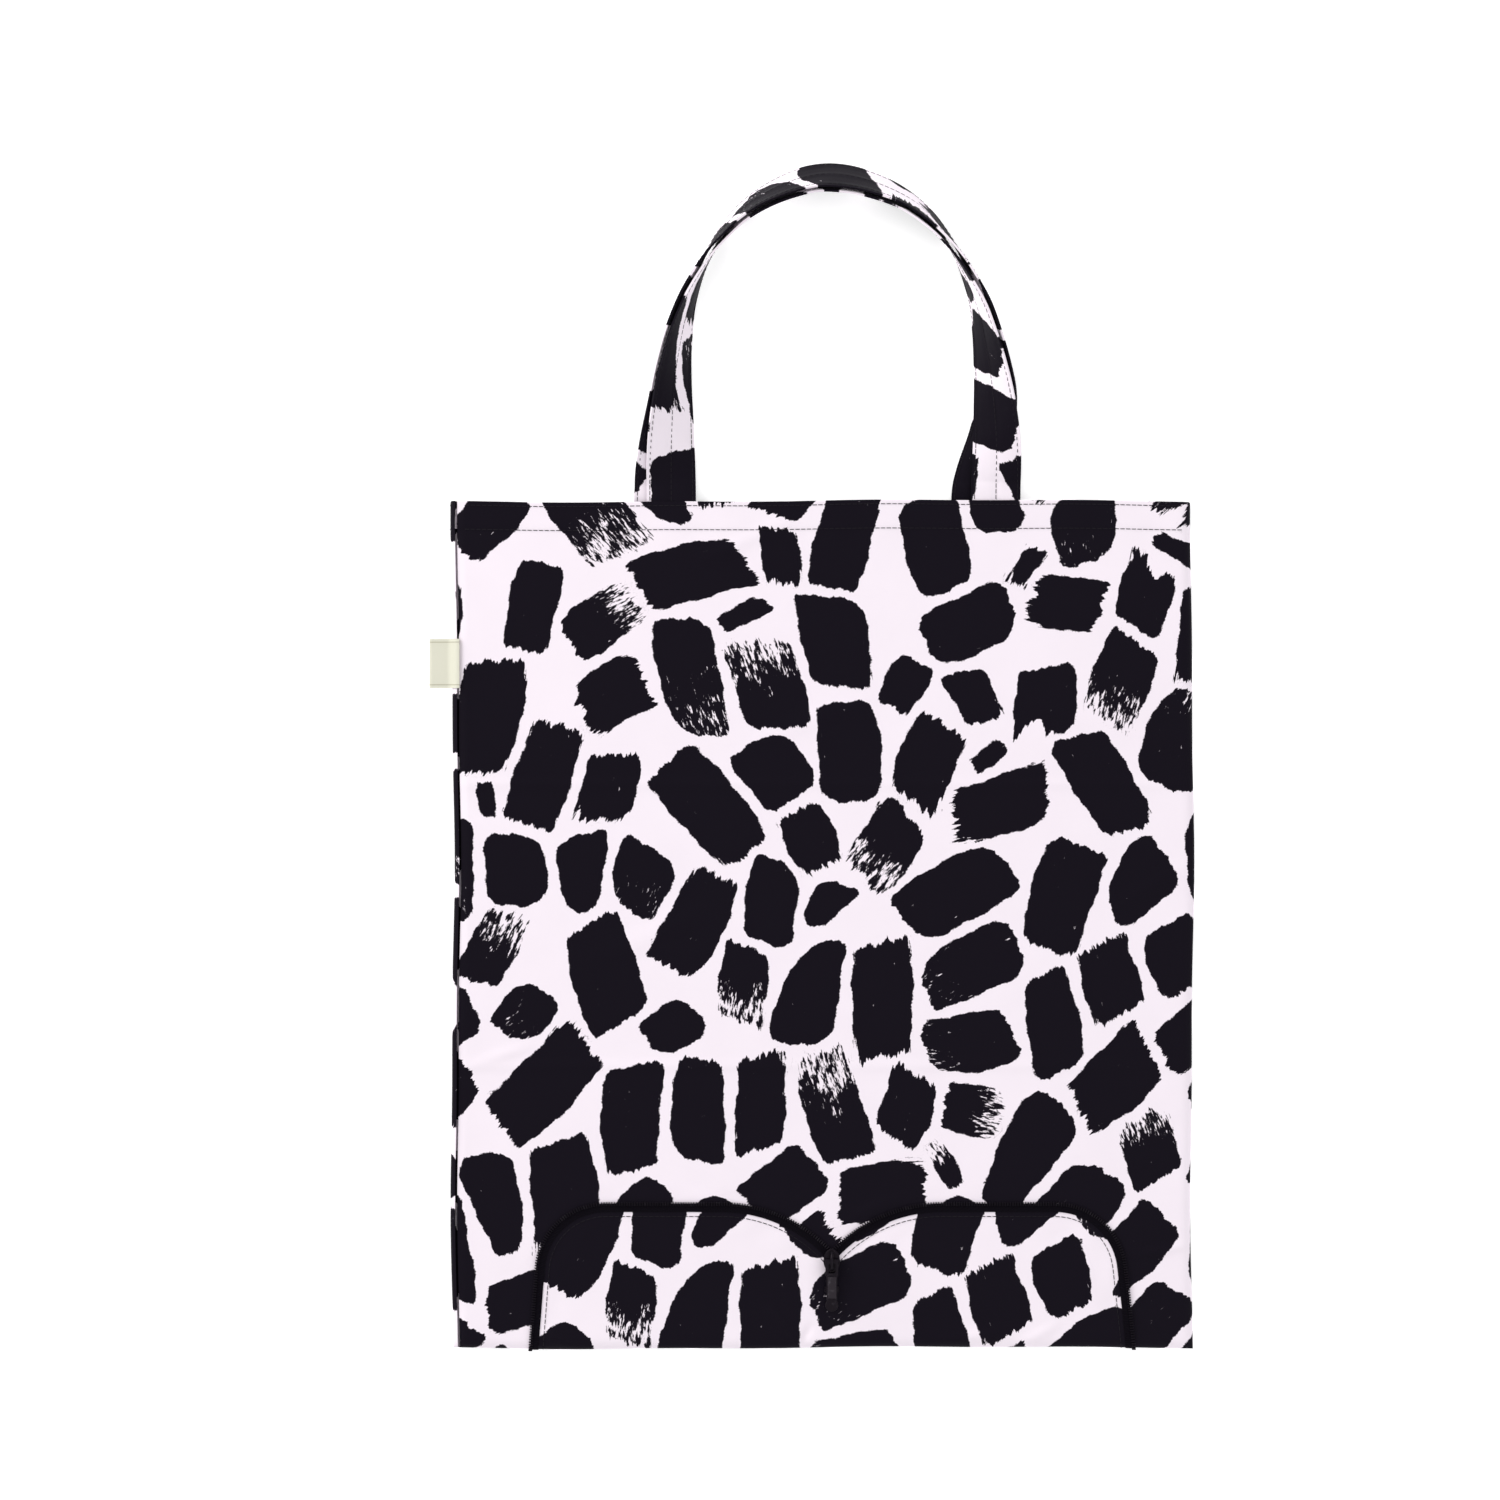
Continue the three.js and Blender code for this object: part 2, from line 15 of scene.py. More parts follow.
import bpy
import numpy as np
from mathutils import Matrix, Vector


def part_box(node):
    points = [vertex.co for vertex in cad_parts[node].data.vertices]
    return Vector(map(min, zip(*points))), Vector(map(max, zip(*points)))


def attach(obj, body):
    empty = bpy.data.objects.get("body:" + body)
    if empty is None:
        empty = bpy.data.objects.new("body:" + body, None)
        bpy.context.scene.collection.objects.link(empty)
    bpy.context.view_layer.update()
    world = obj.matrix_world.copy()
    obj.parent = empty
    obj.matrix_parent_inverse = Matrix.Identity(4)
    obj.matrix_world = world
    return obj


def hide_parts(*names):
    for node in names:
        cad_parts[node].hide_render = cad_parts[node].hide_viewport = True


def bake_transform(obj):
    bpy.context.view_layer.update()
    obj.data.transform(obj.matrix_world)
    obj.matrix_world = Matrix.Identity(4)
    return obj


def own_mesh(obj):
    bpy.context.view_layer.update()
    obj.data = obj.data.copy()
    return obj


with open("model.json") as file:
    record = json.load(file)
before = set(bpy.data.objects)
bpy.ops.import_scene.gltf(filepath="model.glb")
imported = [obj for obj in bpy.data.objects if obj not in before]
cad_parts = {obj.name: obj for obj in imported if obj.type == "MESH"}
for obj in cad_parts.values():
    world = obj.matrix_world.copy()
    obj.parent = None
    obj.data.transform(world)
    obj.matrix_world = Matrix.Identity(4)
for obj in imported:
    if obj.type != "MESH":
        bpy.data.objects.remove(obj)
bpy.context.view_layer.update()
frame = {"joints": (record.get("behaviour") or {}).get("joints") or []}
MM = 0.001

# %% [markdown]
# ## Camera and light
#
# The bag is seen from straight above, through a long lens, so that its edges stay parallel. A pale
# floor and two broad, soft lights leave hardly any shadow. One comes from the upper left and is a
# little stronger, because without a direction to the light no crease would show at all.

# %% The camera looks straight down
bag_low = Vector(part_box("left_side_seam_lower")[0])
bag_high = Vector(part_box("right_side_seam_upper")[1])
VIEW_WIDTH = 762 * MM
CAMERA_HEIGHT = 2.12
LEFT_OF_MIDDLE, ABOVE_BOTTOM = 37 * MM, 304 * MM  # where the camera looks
camera = bpy.data.objects.new("camera", bpy.data.cameras.new("camera"))
bpy.context.scene.collection.objects.link(camera)
camera_x = (bag_low.x + bag_high.x) / 2 - LEFT_OF_MIDDLE
camera.location = (camera_x, bag_low.y + ABOVE_BOTTOM, CAMERA_HEIGHT)
camera.data.lens = camera.data.sensor_width * (CAMERA_HEIGHT - bag_high.z) / VIEW_WIDTH
bpy.context.scene.camera = camera
bpy.context.scene.view_settings.view_transform = "Standard"
print("lens", round(camera.data.lens, 1), "mm")


# %% Soft lights and an even sky
def soft_light(name, place, size, power, colour):
    light = bpy.data.lights.new(name, "AREA")
    light.shape, light.size, light.energy, light.color = "DISK", size, power, colour
    lamp = bpy.data.objects.new(name, light)
    bpy.context.scene.collection.objects.link(lamp)
    lamp.location = place
    lamp.rotation_euler = (-Vector(place)).to_track_quat("-Z", "Y").to_euler()


soft_light("window", place=(-1.9, 1.6, 0.95), size=1.8, power=42, colour=(1, 0.985, 0.97))
soft_light("bounce", place=(1.6, -0.9, 1.8), size=2.0, power=6, colour=(0.95, 0.97, 1))
SKY_STRENGTH = 0.86
world = bpy.data.worlds.new("studio")
bpy.context.scene.world = world
world.use_nodes = True
sky = world.node_tree.nodes["Background"]
sky.inputs["Color"].default_value = (1, 1, 1, 1)
sky.inputs["Strength"].default_value = SKY_STRENGTH


# %% [markdown]
# ## Materials as expressions
#
# A material here is a graph of nodes, and most of them only add and multiply. A small class wraps
# the end of a wire, so that the sums can be written as sums: `1 - mask * 0.5` adds its own Math
# nodes. Every other node goes through one method.

# %% A wire that can be added and multiplied, and the shop that makes nodes
class Wire:
    def __init__(self, shop, socket):
        self.shop, self.socket = shop, socket

    def math(self, operation, a, b=0.0, clamp=False):
        return self.shop.node("Math", {"operation": operation, "use_clamp": clamp}, {0: a, 1: b})

    def __add__(self, other):
        return self.math("ADD", self, other)

    def __sub__(self, other):
        return self.math("SUBTRACT", self, other)

    def __rsub__(self, other):
        return self.math("SUBTRACT", other, self)

    def __mul__(self, other):
        return self.math("MULTIPLY", self, other)

    __radd__, __rmul__ = __add__, __mul__

    def clamped(self):
        return self.math("ADD", self, 0.0, clamp=True)


class Shop:
    def __init__(self, name, colour, roughness=0.5, metallic=0.0, **sockets):
        self.material = bpy.data.materials.new(name)
        self.material.use_nodes = True
        self.tree = self.material.node_tree
        self.shader = self.tree.nodes["Principled BSDF"]
        self.set("Base Color", (*colour, 1))
        self.set("Roughness", roughness)
        self.set("Metallic", metallic)
        for socket, value in sockets.items():
            self.set(socket.replace("_", " "), value)

    def set(self, socket, value):
        self.feed(self.shader.inputs[socket], value)

    def feed(self, socket, value):
        if isinstance(value, Wire):
            self.tree.links.new(value.socket, socket)
        else:
            socket.default_value = value

    def node(self, kind, settings, inputs, output=0):
        made = self.tree.nodes.new("ShaderNode" + kind)
        for name, value in settings.items():
            setattr(made, name, value)
        for name, value in inputs.items():
            self.feed(made.inputs[name], value)
        return Wire(self, made.outputs[output])

    def attribute(self, name, output="Fac"):
        return self.node("Attribute", {"attribute_name": name}, {}, output)

    def scaled(self, vector, scale):
        return self.node("Mapping", {}, {"Vector": vector, "Scale": scale}, "Vector")

    def noise(self, vector, scale=1.0, detail=2.0, roughness=0.5):
        inputs = {"Vector": vector, "Scale": scale, "Detail": detail, "Roughness": roughness}
        return self.node("TexNoise", {}, inputs, "Fac")

    def waves(self, vector, direction, scale):
        inputs = {"Vector": vector, "Scale": scale}
        return self.node("TexWave", {"bands_direction": direction}, inputs, "Fac")

    def in_space(self):
        return self.node("TexCoord", {}, {}, "Object")

    def on_cloth(self):
        return self.node("UVMap", {"uv_map": "flat"}, {}, "UV")

    def mix(self, share, a, b):
        """A colour between a and b. The mix node has sockets of one name for each kind of data, so
        the three for colour go by number."""
        return self.node("Mix", {"data_type": "RGBA"}, {0: share, 6: a, 7: b}, 2)

    def bump(self, height, distance, strength=1.0):
        inputs = {"Height": height, "Distance": distance, "Strength": strength}
        self.set("Normal", self.node("Bump", {}, inputs, "Normal"))


# %% [markdown]
# ## Small helpers for meshes
#
# Operators act on whatever is selected, and the frame comes in selected, so the first helper clears
# that. A cloth piece starts as a flat grid whose points are then laid where the cloth goes. The
# cloth's own flat coordinates are kept as its UV map, in units of 100 mm, so that print and weave
# follow it round an edge or a fold.

# %% Mesh helpers
def box_mm(node):
    """The two corners of a CAD node's box, in mm."""
    return [Vector(corner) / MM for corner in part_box(node)]


def named(piece, name):
    piece.name = piece.data.name = name
    return piece


def nothing_selected():
    if bpy.context.object and bpy.context.object.mode != "OBJECT":
        bpy.ops.object.mode_set(mode="OBJECT")
    bpy.ops.object.select_all(action="DESELECT")


def only(piece):
    nothing_selected()
    piece.select_set(True)
    bpy.context.view_layer.objects.active = piece
    return piece


def edit_all(piece):
    """Enters edit mode with everything selected."""
    only(piece)
    bpy.ops.object.mode_set(mode="EDIT")
    bpy.ops.mesh.select_all(action="SELECT")


def edited():
    bpy.ops.object.mode_set(mode="OBJECT")


def solid_box(name, low, high, bevel, segments=3, unit_size=MM):
    """A block between two corners, with its edges rounded, in mm or in another unit."""
    nothing_selected()
    bpy.ops.mesh.primitive_cube_add(size=1)
    block = named(bpy.context.object, name)
    edit_all(block)
    low, high = Vector(low) * unit_size, Vector(high) * unit_size
    bpy.ops.transform.resize(value=high - low)
    bpy.ops.transform.translate(value=(low + high) / 2)
    bpy.ops.mesh.bevel(offset=bevel * unit_size, segments=segments)
    edited()
    return block


def applied(piece, kind, **settings):
    only(piece)
    modifier = piece.modifiers.new(kind.lower(), kind)
    for name, value in settings.items():
        setattr(modifier, name, value)
    bpy.ops.object.modifier_apply(modifier=modifier.name)
    return piece


def smoothed(piece, degrees=40):
    only(piece)
    bpy.ops.object.shade_smooth_by_angle(angle=math.radians(degrees))
    return piece


def finished(piece, body, material, slot, *nodes):
    """Gives a piece its material, its body and the CAD nodes that it stands for."""
    piece.data.materials.clear()
    piece.data.materials.append(material)
    if body:
        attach(piece, body)
    if nodes:
        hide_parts(*nodes)
    return piece


def new_grid(name, columns, rows):
    """A flat grid from the primitive, and the share of its width and height at each point."""
    nothing_selected()
    bpy.ops.mesh.primitive_grid_add(x_subdivisions=columns, y_subdivisions=rows, size=2)
    piece = named(bpy.context.object, name)
    corners = np.empty(len(piece.data.vertices) * 3)
    piece.data.vertices.foreach_get("co", corners)
    corners = corners.reshape(-1, 3)
    return piece, (corners[:, 0] + 1) / 2, (corners[:, 1] + 1) / 2


def corners_of(piece):
    return np.array([list(v.co) for v in piece.data.vertices])


def put_points(piece, points_mm):
    piece.data.vertices.foreach_set("co", (np.asarray(points_mm) * MM).astype(np.float32).ravel())
    piece.data.update()


def put_flat(piece, flat_mm):
    """Writes each point's place on the flat cloth, in mm, to the UV map, in units of 100 mm."""
    corner_points = np.empty(len(piece.data.loops), np.int32)
    piece.data.loops.foreach_get("vertex_index", corner_points)
    layer = piece.data.uv_layers.get("flat") or piece.data.uv_layers.new(name="flat")
    piece.data.uv_layers.active = layer
    places = (np.asarray(flat_mm) / 100)[corner_points]
    layer.data.foreach_set("uv", places.astype(np.float32).ravel())


def mesh_piece(name, points_mm, faces):
    mesh = bpy.data.meshes.new(name)
    mesh.from_pydata((np.asarray(points_mm) * MM).tolist(), [], faces)
    mesh.validate()
    piece = bpy.data.objects.new(name, mesh)
    bpy.context.scene.collection.objects.link(piece)
    return piece


def unit(directions):
    return directions / np.linalg.norm(directions, axis=1, keepdims=True)


def smoothstep(low, high, value):
    share = np.clip((value - low) / (high - low), 0, 1)
    return share * share * (3 - 2 * share)


# %% [markdown]
# ## The print
#
# The cloth is white with black brush dabs: short blocks of ink at every angle, some with a clean
# rounded end, some with a ragged one where the brush ran dry. The dabs here are a plain layout of
# this script's own: only their size, their spacing and the ways a brush leaves the cloth are those
# of such a print.
#
# A picture of the print would be one more file. Instead each point of the cloth stores how far it
# is inside the nearest dab, and where it is along and across that dab. The material then decides
# what is ink, and roughens the edge with streaks that follow the brush, so the edge is as sharp as
# the render however coarse the mesh is.

# %% Brush manners
# Corner radius as a share of the width, raggedness of the near and of the far end, specks, taper,
# and the depth of the split in the far end as a share of the length.
MANNERS = {
    "smooth": (0.36, 0.05, 0.12, 0.00, 0.00, 0.0),
    "block": (0.22, 0.12, 0.35, 0.00, 0.10, 0.0),
    "ragged": (0.12, 0.45, 0.80, 0.05, 0.08, 0.0),
    "dry": (0.14, 0.30, 0.95, 0.95, 0.05, 0.0),
    "speck": (0.34, 0.08, 0.18, 0.50, 0.12, 0.0),
    "pear": (0.36, 0.05, 0.20, 0.00, 0.42, 0.0),
    "fork": (0.12, 0.20, 0.90, 0.15, 0.00, 0.26),
}
HOW_OFTEN = {"smooth": 3, "block": 5, "ragged": 6, "dry": 3, "speck": 3, "pear": 2, "fork": 1}


# %% The inside of a dab
BOW, SLANT, BULGE = 0.06, 0.32, 0.12


def dab_inside(x, y, dab, number):
    """How far inside a dab a place is, and where it is along and across, in mm. A dab bows a little,
    its ends slant, its sides bulge and wave, and each corner has its own radius."""
    middle_x, middle_y, length, width, direction, manner = dab
    corner, near_rag, far_rag, specks, taper, split = MANNERS[manner]
    turn = math.radians(direction)
    along = (x - middle_x) * math.cos(turn) + (y - middle_y) * math.sin(turn)
    across = (y - middle_y) * math.cos(turn) - (x - middle_x) * math.sin(turn)
    from_middle = (2 * along / length) ** 2
    across = across + BOW * width * math.sin(2.4 * number) * (1 - from_middle)
    slanted = along + SLANT * math.sin(3.7 * number) * across
    barrel = 1 - BULGE * from_middle
    half = width / 2 * barrel * (1 - taper * smoothstep(-0.5, 0.6, along / length))
    half = half + 0.45 * np.sin(along * 0.27 + number) + 0.25 * np.sin(along * 0.83 + 2.1 * number)
    quarter = 2.9 * number + 1.9 * (slanted > 0) + 4.1 * (across > 0)
    radius = width * corner * (0.72 + 0.34 * np.sin(quarter))
    beyond_along = np.abs(slanted) - (length / 2 - radius)
    beyond_across = np.abs(across) - (half - radius)
    outside = np.hypot(np.maximum(beyond_along, 0), np.maximum(beyond_across, 0))
    inside = radius - outside - np.minimum(np.maximum(beyond_along, beyond_across), 0)
    wobble = 0.5 * np.sin(across * 0.55 + 1.7 * number) + 0.35 * np.sin(across * 1.4 + number)
    inside = inside + wobble * smoothstep(0.2, 0.5, np.abs(along) / length)
    if split:
        side = 0.12 * width * math.sin(5.1 * number)
        depth = along - length * (0.5 - split)
        wedge = 0.23 * depth * width / (split * length) - np.abs(across - side)
        inside = np.where(depth > 0, np.minimum(inside, -wedge), inside)
    return inside, along, across


# %% [markdown]
# The layout grows like paving. Each new dab has a chance size and direction, and is tried at every
# place at once: a Fourier transform slides its shape over the dabs that are already there. Of the
# places where it keeps a clear gap, it takes one where it has the closest neighbours. Small dabs
# fill the holes at the end. The cloth repeats, so the layout wraps round at its edges. The draw is
# seeded and so is the same each time.

# %% Lay out the dabs
REPEAT_X, REPEAT_Y = 392, 444
CELL = 2.0
GAP_BETWEEN_DABS, NEIGHBOURLY = 5.0, 3.6  # mm clear, and how much further off a neighbour counts
CARELESSNESS = 14  # cells of contact that chance may make up for
SEED = 11
# Narrowest and widest dab, least and most length for its width, and how many are tried.
DAB_SIZES = (((25, 36), (1.05, 1.9), 110), ((20, 27), (1.05, 1.5), 70), ((9, 15), (1.6, 2.8), 14))


def shared_cells(taken, shape):
    """How many taken cells a shape would cover, at each place that it could be slid to."""
    return np.fft.irfft2(np.fft.rfft2(taken) * shape, taken.shape)


def lay_out_dabs():
    draw = np.random.RandomState(SEED)
    names = [name for name, times in HOW_OFTEN.items() for _ in range(times)]
    columns, rows = (np.arange(-size / 2, size / 2, CELL) for size in (REPEAT_X, REPEAT_Y))
    x, y = np.meshgrid(columns, rows)
    clear = np.full(x.shape, 60.0)
    dabs = []
    for widths, slenderness, tries in DAB_SIZES:
        for _ in range(tries):
            width = draw.uniform(*widths)
            steep, any_way, other_way = 90, draw.uniform(0, 180), draw.uniform(0, 180)
            direction = draw.choice((steep, any_way, other_way, draw.uniform(20, 75)))
            direction += draw.uniform(-18, 18) + 180 * draw.randint(2)
            length = width * draw.uniform(*slenderness)
            dab = (0, 0, length, width, direction, names[draw.randint(len(names))])
            inside = dab_inside(x, y, dab, len(dabs))[0]
            shape = np.conj(np.fft.rfft2(np.fft.ifftshift(inside > 0)))
            overlap = shared_cells(clear < GAP_BETWEEN_DABS, shape)
            contact = shared_cells(clear < GAP_BETWEEN_DABS + NEIGHBOURLY, shape)
            contact = np.rint(contact) + draw.uniform(0, CARELESSNESS, x.shape)
            contact[overlap > 0.5] = -1
            row, column = np.unravel_index(contact.argmax(), x.shape)
            if contact[row, column] < 0:
                continue
            dabs.append(((column * CELL, row * CELL) + dab[2:]))
            clear = np.minimum(clear, np.roll(-np.fft.ifftshift(inside), (row, column), (0, 1)))
    print(len(dabs), "dabs,", round(100 * (clear < 0).mean()), "% ink")
    return dabs


DABS = lay_out_dabs()


# %% The print at each point of a piece
FAR_OUTSIDE, DAB_REACH = -8.0, 10


def print_cloth(piece, flat_mm, shift=(0, 0), flip=1):
    """Stores the print at each point, from its place on the flat cloth. Each piece is cut from
    another place of the same cloth, so it gets its own shift."""
    flat = np.asarray(flat_mm, float) * (flip, 1) + shift
    ink = np.full(len(flat), FAR_OUTSIDE)
    stroke = np.zeros((len(flat), 3))
    brush = np.zeros((len(flat), 3))
    for number, dab in enumerate(DABS):
        off_x = (flat[:, 0] - dab[0] + REPEAT_X / 2) % REPEAT_X - REPEAT_X / 2
        off_y = (flat[:, 1] - dab[1] + REPEAT_Y / 2) % REPEAT_Y - REPEAT_Y / 2
        near = np.flatnonzero(np.hypot(off_x, off_y) < (dab[2] + dab[3]) / 2 + DAB_REACH)
        if not len(near):
            continue
        inside, along, across = dab_inside(off_x[near], off_y[near], (0, 0, *dab[2:]), number)
        better = inside > ink[near]
        chosen, along, across = near[better], along[better], across[better]
        ink[chosen] = inside[better]
        stroke[chosen] = np.stack([along, across, np.full(len(along), 7.3 * number)], axis=1)
        near_rag, far_rag, specks = MANNERS[dab[5]][1:4]
        end = smoothstep(0.18, 0.5, np.abs(along) / dab[2])
        brush[chosen, 0] = end * np.where(along > 0, far_rag, near_rag)
        brush[chosen, 1] = specks * smoothstep(-0.25, 0.4, along / dab[2])
    stored = (("ink", "FLOAT", "value", ink), ("stroke", "FLOAT_VECTOR", "vector", stroke),
              ("brush", "FLOAT_VECTOR", "vector", brush))
    for name, kind, key, values in stored:
        layer = piece.data.attributes.get(name) or piece.data.attributes.new(name, kind, "POINT")
        layer.data.foreach_set(key, values.astype(np.float32).ravel())


# %% [markdown]
# ## The printed cloth
#
# The cloth is a light polyester weave: matt, faintly warm white, and a little shinier where the ink
# lies on it. The weave is much finer than the print, so it is only a bump. Streaks that run along
# the brush eat into the ragged ends, and specks open where the brush ran dry.

# %% Printed cloth
CLOTH_WHITE = (0.865, 0.788, 0.857)
INK_BLACK = (0.0052, 0.0034, 0.0078)


def make_printed_cloth():
    shop = Shop("printed_cloth", CLOTH_WHITE, 0.72, Sheen_Weight=0.01, Sheen_Roughness=0.5)
    shop.set("Specular IOR Level", 0.06)
    flat = shop.on_cloth()
    ink, stroke = shop.attribute("ink"), shop.attribute("stroke", "Vector")
    raggedness = shop.node("SeparateXYZ", {}, {0: shop.attribute("brush", "Vector")}, "X")
    specks = Wire(shop, raggedness.socket.node.outputs["Y"])
    streaks = shop.noise(shop.scaled(stroke, (0.085, 0.62, 1)), detail=4, roughness=0.62) - 0.5
    notches = shop.noise(shop.scaled(stroke, (0.05, 0.24, 1)), detail=3, roughness=0.6) - 0.5
    fray = shop.noise(flat, scale=105, detail=2) - 0.5
    edge = ink + streaks * (1.0 + raggedness * 13) + notches * (raggedness * 13) + fray * 1.5
    grain = shop.noise(shop.scaled(stroke, (0.2, 0.75, 1)), detail=4, roughness=0.6)
    patch = shop.noise(shop.scaled(stroke, (0.06, 0.1, 1)), detail=1)
    holes = ((grain + specks * 0.3 + patch * 0.4 - 0.97) * 18).clamped()
    mask = ((edge * 2.6 + 0.5).clamped() * (1 - holes)).clamped()
    cloud = shop.noise(flat, scale=3.2, detail=2) * 0.05 + 0.975
    white = shop.node("VectorMath", {"operation": "SCALE"}, {0: CLOTH_WHITE, "Scale": cloud})
    shop.set("Base Color", shop.mix(mask, white, (*INK_BLACK, 1)))
    shop.set("Roughness", 0.74 - mask * 0.16)
    warp, weft = shop.waves(flat, "X", 62), shop.waves(flat, "Y", 62)
    slub = shop.noise(shop.scaled(flat, (20, 190, 1)), detail=2)
    shop.bump(warp * 0.5 + weft * 0.5 + slub * 0.7 + mask * 0.5, 0.00006, 0.55)
    return shop.material


printed_cloth = make_printed_cloth()

# %% [markdown]
# ## The shape of the lying bag
#
# All of the body's pieces lie on two surfaces, the front and the back, that meet at the sides and
# at the bottom. One function turns a place on the flat cloth into a place in space, and everything
# sewn to the bag uses it with a little lift, so nothing sinks in or floats. Near an edge the surface
# turns over in a quarter of an ellipse. On the left the back panel rolls forward a few millimetres
# and meets the front one on top, which is why a sliver of it shows there.

# %% Sizes of the lying bag, from the frame
HALF_WIDTH = (bag_high.x - bag_low.x) / 2 / MM
TOP_Y, BOTTOM_Y = bag_high.y / MM, bag_low.y / MM
THICK = (bag_high.z - bag_low.z) / MM
MID_Z = THICK / 2 + 0.1
FRONT_RISE = 2.8  # from the middle of the bag to the front cloth
BACK_RISE = 2.9
SEAM_DIP = 0.25  # share of its height that the front cloth loses at the left seam
ZIP_ROOM = 0.95  # the zip on the back pushes the cloth up off the floor by this much
TURN = 5.0  # how far in from an edge the cloth starts to turn over
TURN_ARC = 6.25  # the cloth used up in that turn
SEAM_INSET = 3.2  # from the left edge to the seam, and how far the front cloth dips beside it
LEFT_SEAM_X = -HALF_WIDTH + SEAM_INSET
ROLL = 3.6  # the back panel's roll round the left edge
ROLL_ARC = 10.2
FLAT_BOTTOM = BOTTOM_Y + TURN - TURN_ARC
FLAT_RIGHT = HALF_WIDTH - TURN + TURN_ARC
HEM_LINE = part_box("front_top_hem")[0].y / MM
HEM_RISE = 0.3
FLAT_BACK_LEFT = LEFT_SEAM_X - ROLL_ARC * 0.9
print("bag", 2 * HALF_WIDTH, "x", TOP_Y - BOTTOM_Y, "x", round(THICK, 1), "mm")

# Soft creases: from, to, height and width, in mm.
CREASES = [
    ((-26, -196), (-9, -214), 1.1, 5), ((-6, -204), (-12, -214), -0.8, 4),
    ((24, -163), (40, -184), 0.9, 5), ((12, -150), (34, -140), 0.6, 6),
    ((160, -168), (184, -163), 0.7, 4), ((162, -198), (176, -213), 0.9, 5),
    ((-176, -70), (-150, -62), 0.5, 6), ((60, -212), (96, -206), 0.7, 6),
    ((-150, -203), (-128, -213), 0.7, 5), ((-60, 186), (-20, 205), 0.5, 8),
    ((90, 120), (150, 96), 0.45, 10), ((-120, -20), (-60, 6), 0.4, 12),
    ((10, -40), (52, -70), 0.4, 9), ((-30, 96), (20, 112), 0.4, 10),
    ((120, -60), (178, -96), 0.45, 9), ((100, -214), (118, -204), 0.6, 5),
    ((-184, 60), (-160, 40), 0.4, 7), ((150, 10), (184, 30), 0.4, 8),
]
CREASE_SHARPNESS = 1.25
FOLD_LINES = (-71.7, 71.7)


def pucker(distance, reach, height):
    """How strongly the cloth puckers at a distance from a seam."""
    return height * np.exp(-((distance / reach) ** 2))


def ripples(x, y):
    """The low swells and soft creases of cloth that was folded up small."""
    height = 0.3 * np.sin(x / 37 + 0.6) * np.sin(y / 43 + 1.1) + 0.2 * np.sin((x + y) / 61 + 2.0)
    height = height + 0.12 * np.sin((x - 0.6 * y) / 17) * np.sin((x + 1.7 * y) / 29)
    for (x0, y0), (x1, y1), rise, width in CREASES:
        run = np.array([x1 - x0, y1 - y0], float)
        share = np.clip(((x - x0) * run[0] + (y - y0) * run[1]) / (run @ run), 0, 1)
        away = np.hypot(x - x0 - share * run[0], y - y0 - share * run[1])
        fading = 0.4 + 0.6 * np.sin(math.pi * share)
        height = height + pucker(away, 0.5 * width, CREASE_SHARPNESS * rise) * fading
    # Sewing draws the cloth into small puckers beside the zip and the hem.
    inset = pouch_inset(x, y)
    height = height + pucker(inset - 11, 6, 0.3) * np.sin(x / 4.1) * np.sin(y / 5.3 + 0.4)
    height = height + pucker(inset + 5, 5, 0.22) * np.sin(x / 5.2 + 1) * np.sin(y / 6.1)
    height = height + pucker(y - HEM_LINE, 5, 0.16) * np.sin(x / 4.6 + 0.8 * np.sin(x / 31))
    # The two fold lines of a bag that has lived folded up, very faint.
    for fold in FOLD_LINES:
        height = height + pucker(y - fold, 2.6, 0.35)
    return height


def lay(flat_x, flat_y, front=True, lift=0.0):
    """The place in space of a place on the flat cloth, in mm."""
    x, y = np.array(flat_x, float), np.array(flat_y, float)
    side_share = np.ones_like(x)
    over_right = np.clip((x - (HALF_WIDTH - TURN)) / TURN_ARC, 0, 1) * math.pi / 2
    side_share = side_share * np.cos(over_right)
    new_x = np.where(over_right > 0, HALF_WIDTH - TURN + (TURN + lift) * np.sin(over_right), x)
    if front:
        dip = smoothstep(0, SEAM_INSET, LEFT_SEAM_X + SEAM_INSET - x)
        side_share = side_share * (1 - SEAM_DIP * dip)
    else:
        over_left = np.clip((LEFT_SEAM_X - x) / ROLL_ARC, 0, 1) * math.pi
        side_share = side_share * np.where(over_left > 0, np.cos(over_left), 1)
        new_x = np.where(over_left > 0, LEFT_SEAM_X - (ROLL + lift) * np.sin(over_left), new_x)
    under = np.clip((BOTTOM_Y + TURN - y) / TURN_ARC, 0, 1) * math.pi / 2
    new_y = np.where(under > 0, BOTTOM_Y + TURN - (TURN + lift) * np.sin(under), y)
    share = side_share * np.cos(under)
    lift = lift + HEM_RISE * smoothstep(HEM_LINE - 1, HEM_LINE + 1.4, y)
    wave = ripples(new_x, new_y) * np.clip(share, 0, 1) ** 2
    if front:
        z = MID_Z + (FRONT_RISE + lift) * share + wave
    else:
        rise = BACK_RISE - ZIP_ROOM * np.exp(-((pouch_inset(x, y) / 9) ** 2))
        z = MID_Z - (rise + lift) * share + 0.5 * np.clip(wave, 0, 0.6)
    edge = np.clip(np.abs(new_x) / HALF_WIDTH, 0, 1) ** 2
    new_x = new_x + edge * (0.8 * np.sin(new_y / 52 + 0.9) + 0.3 * np.sin(new_y / 19))
    wander = 0.6 * np.sin(new_x / 58 + 0.4) + 0.25 * np.sin(new_x / 17)
    new_y = new_y + wander * smoothstep(150, 215, np.abs(new_y))
    return np.stack([new_x, new_y, z], axis=1)


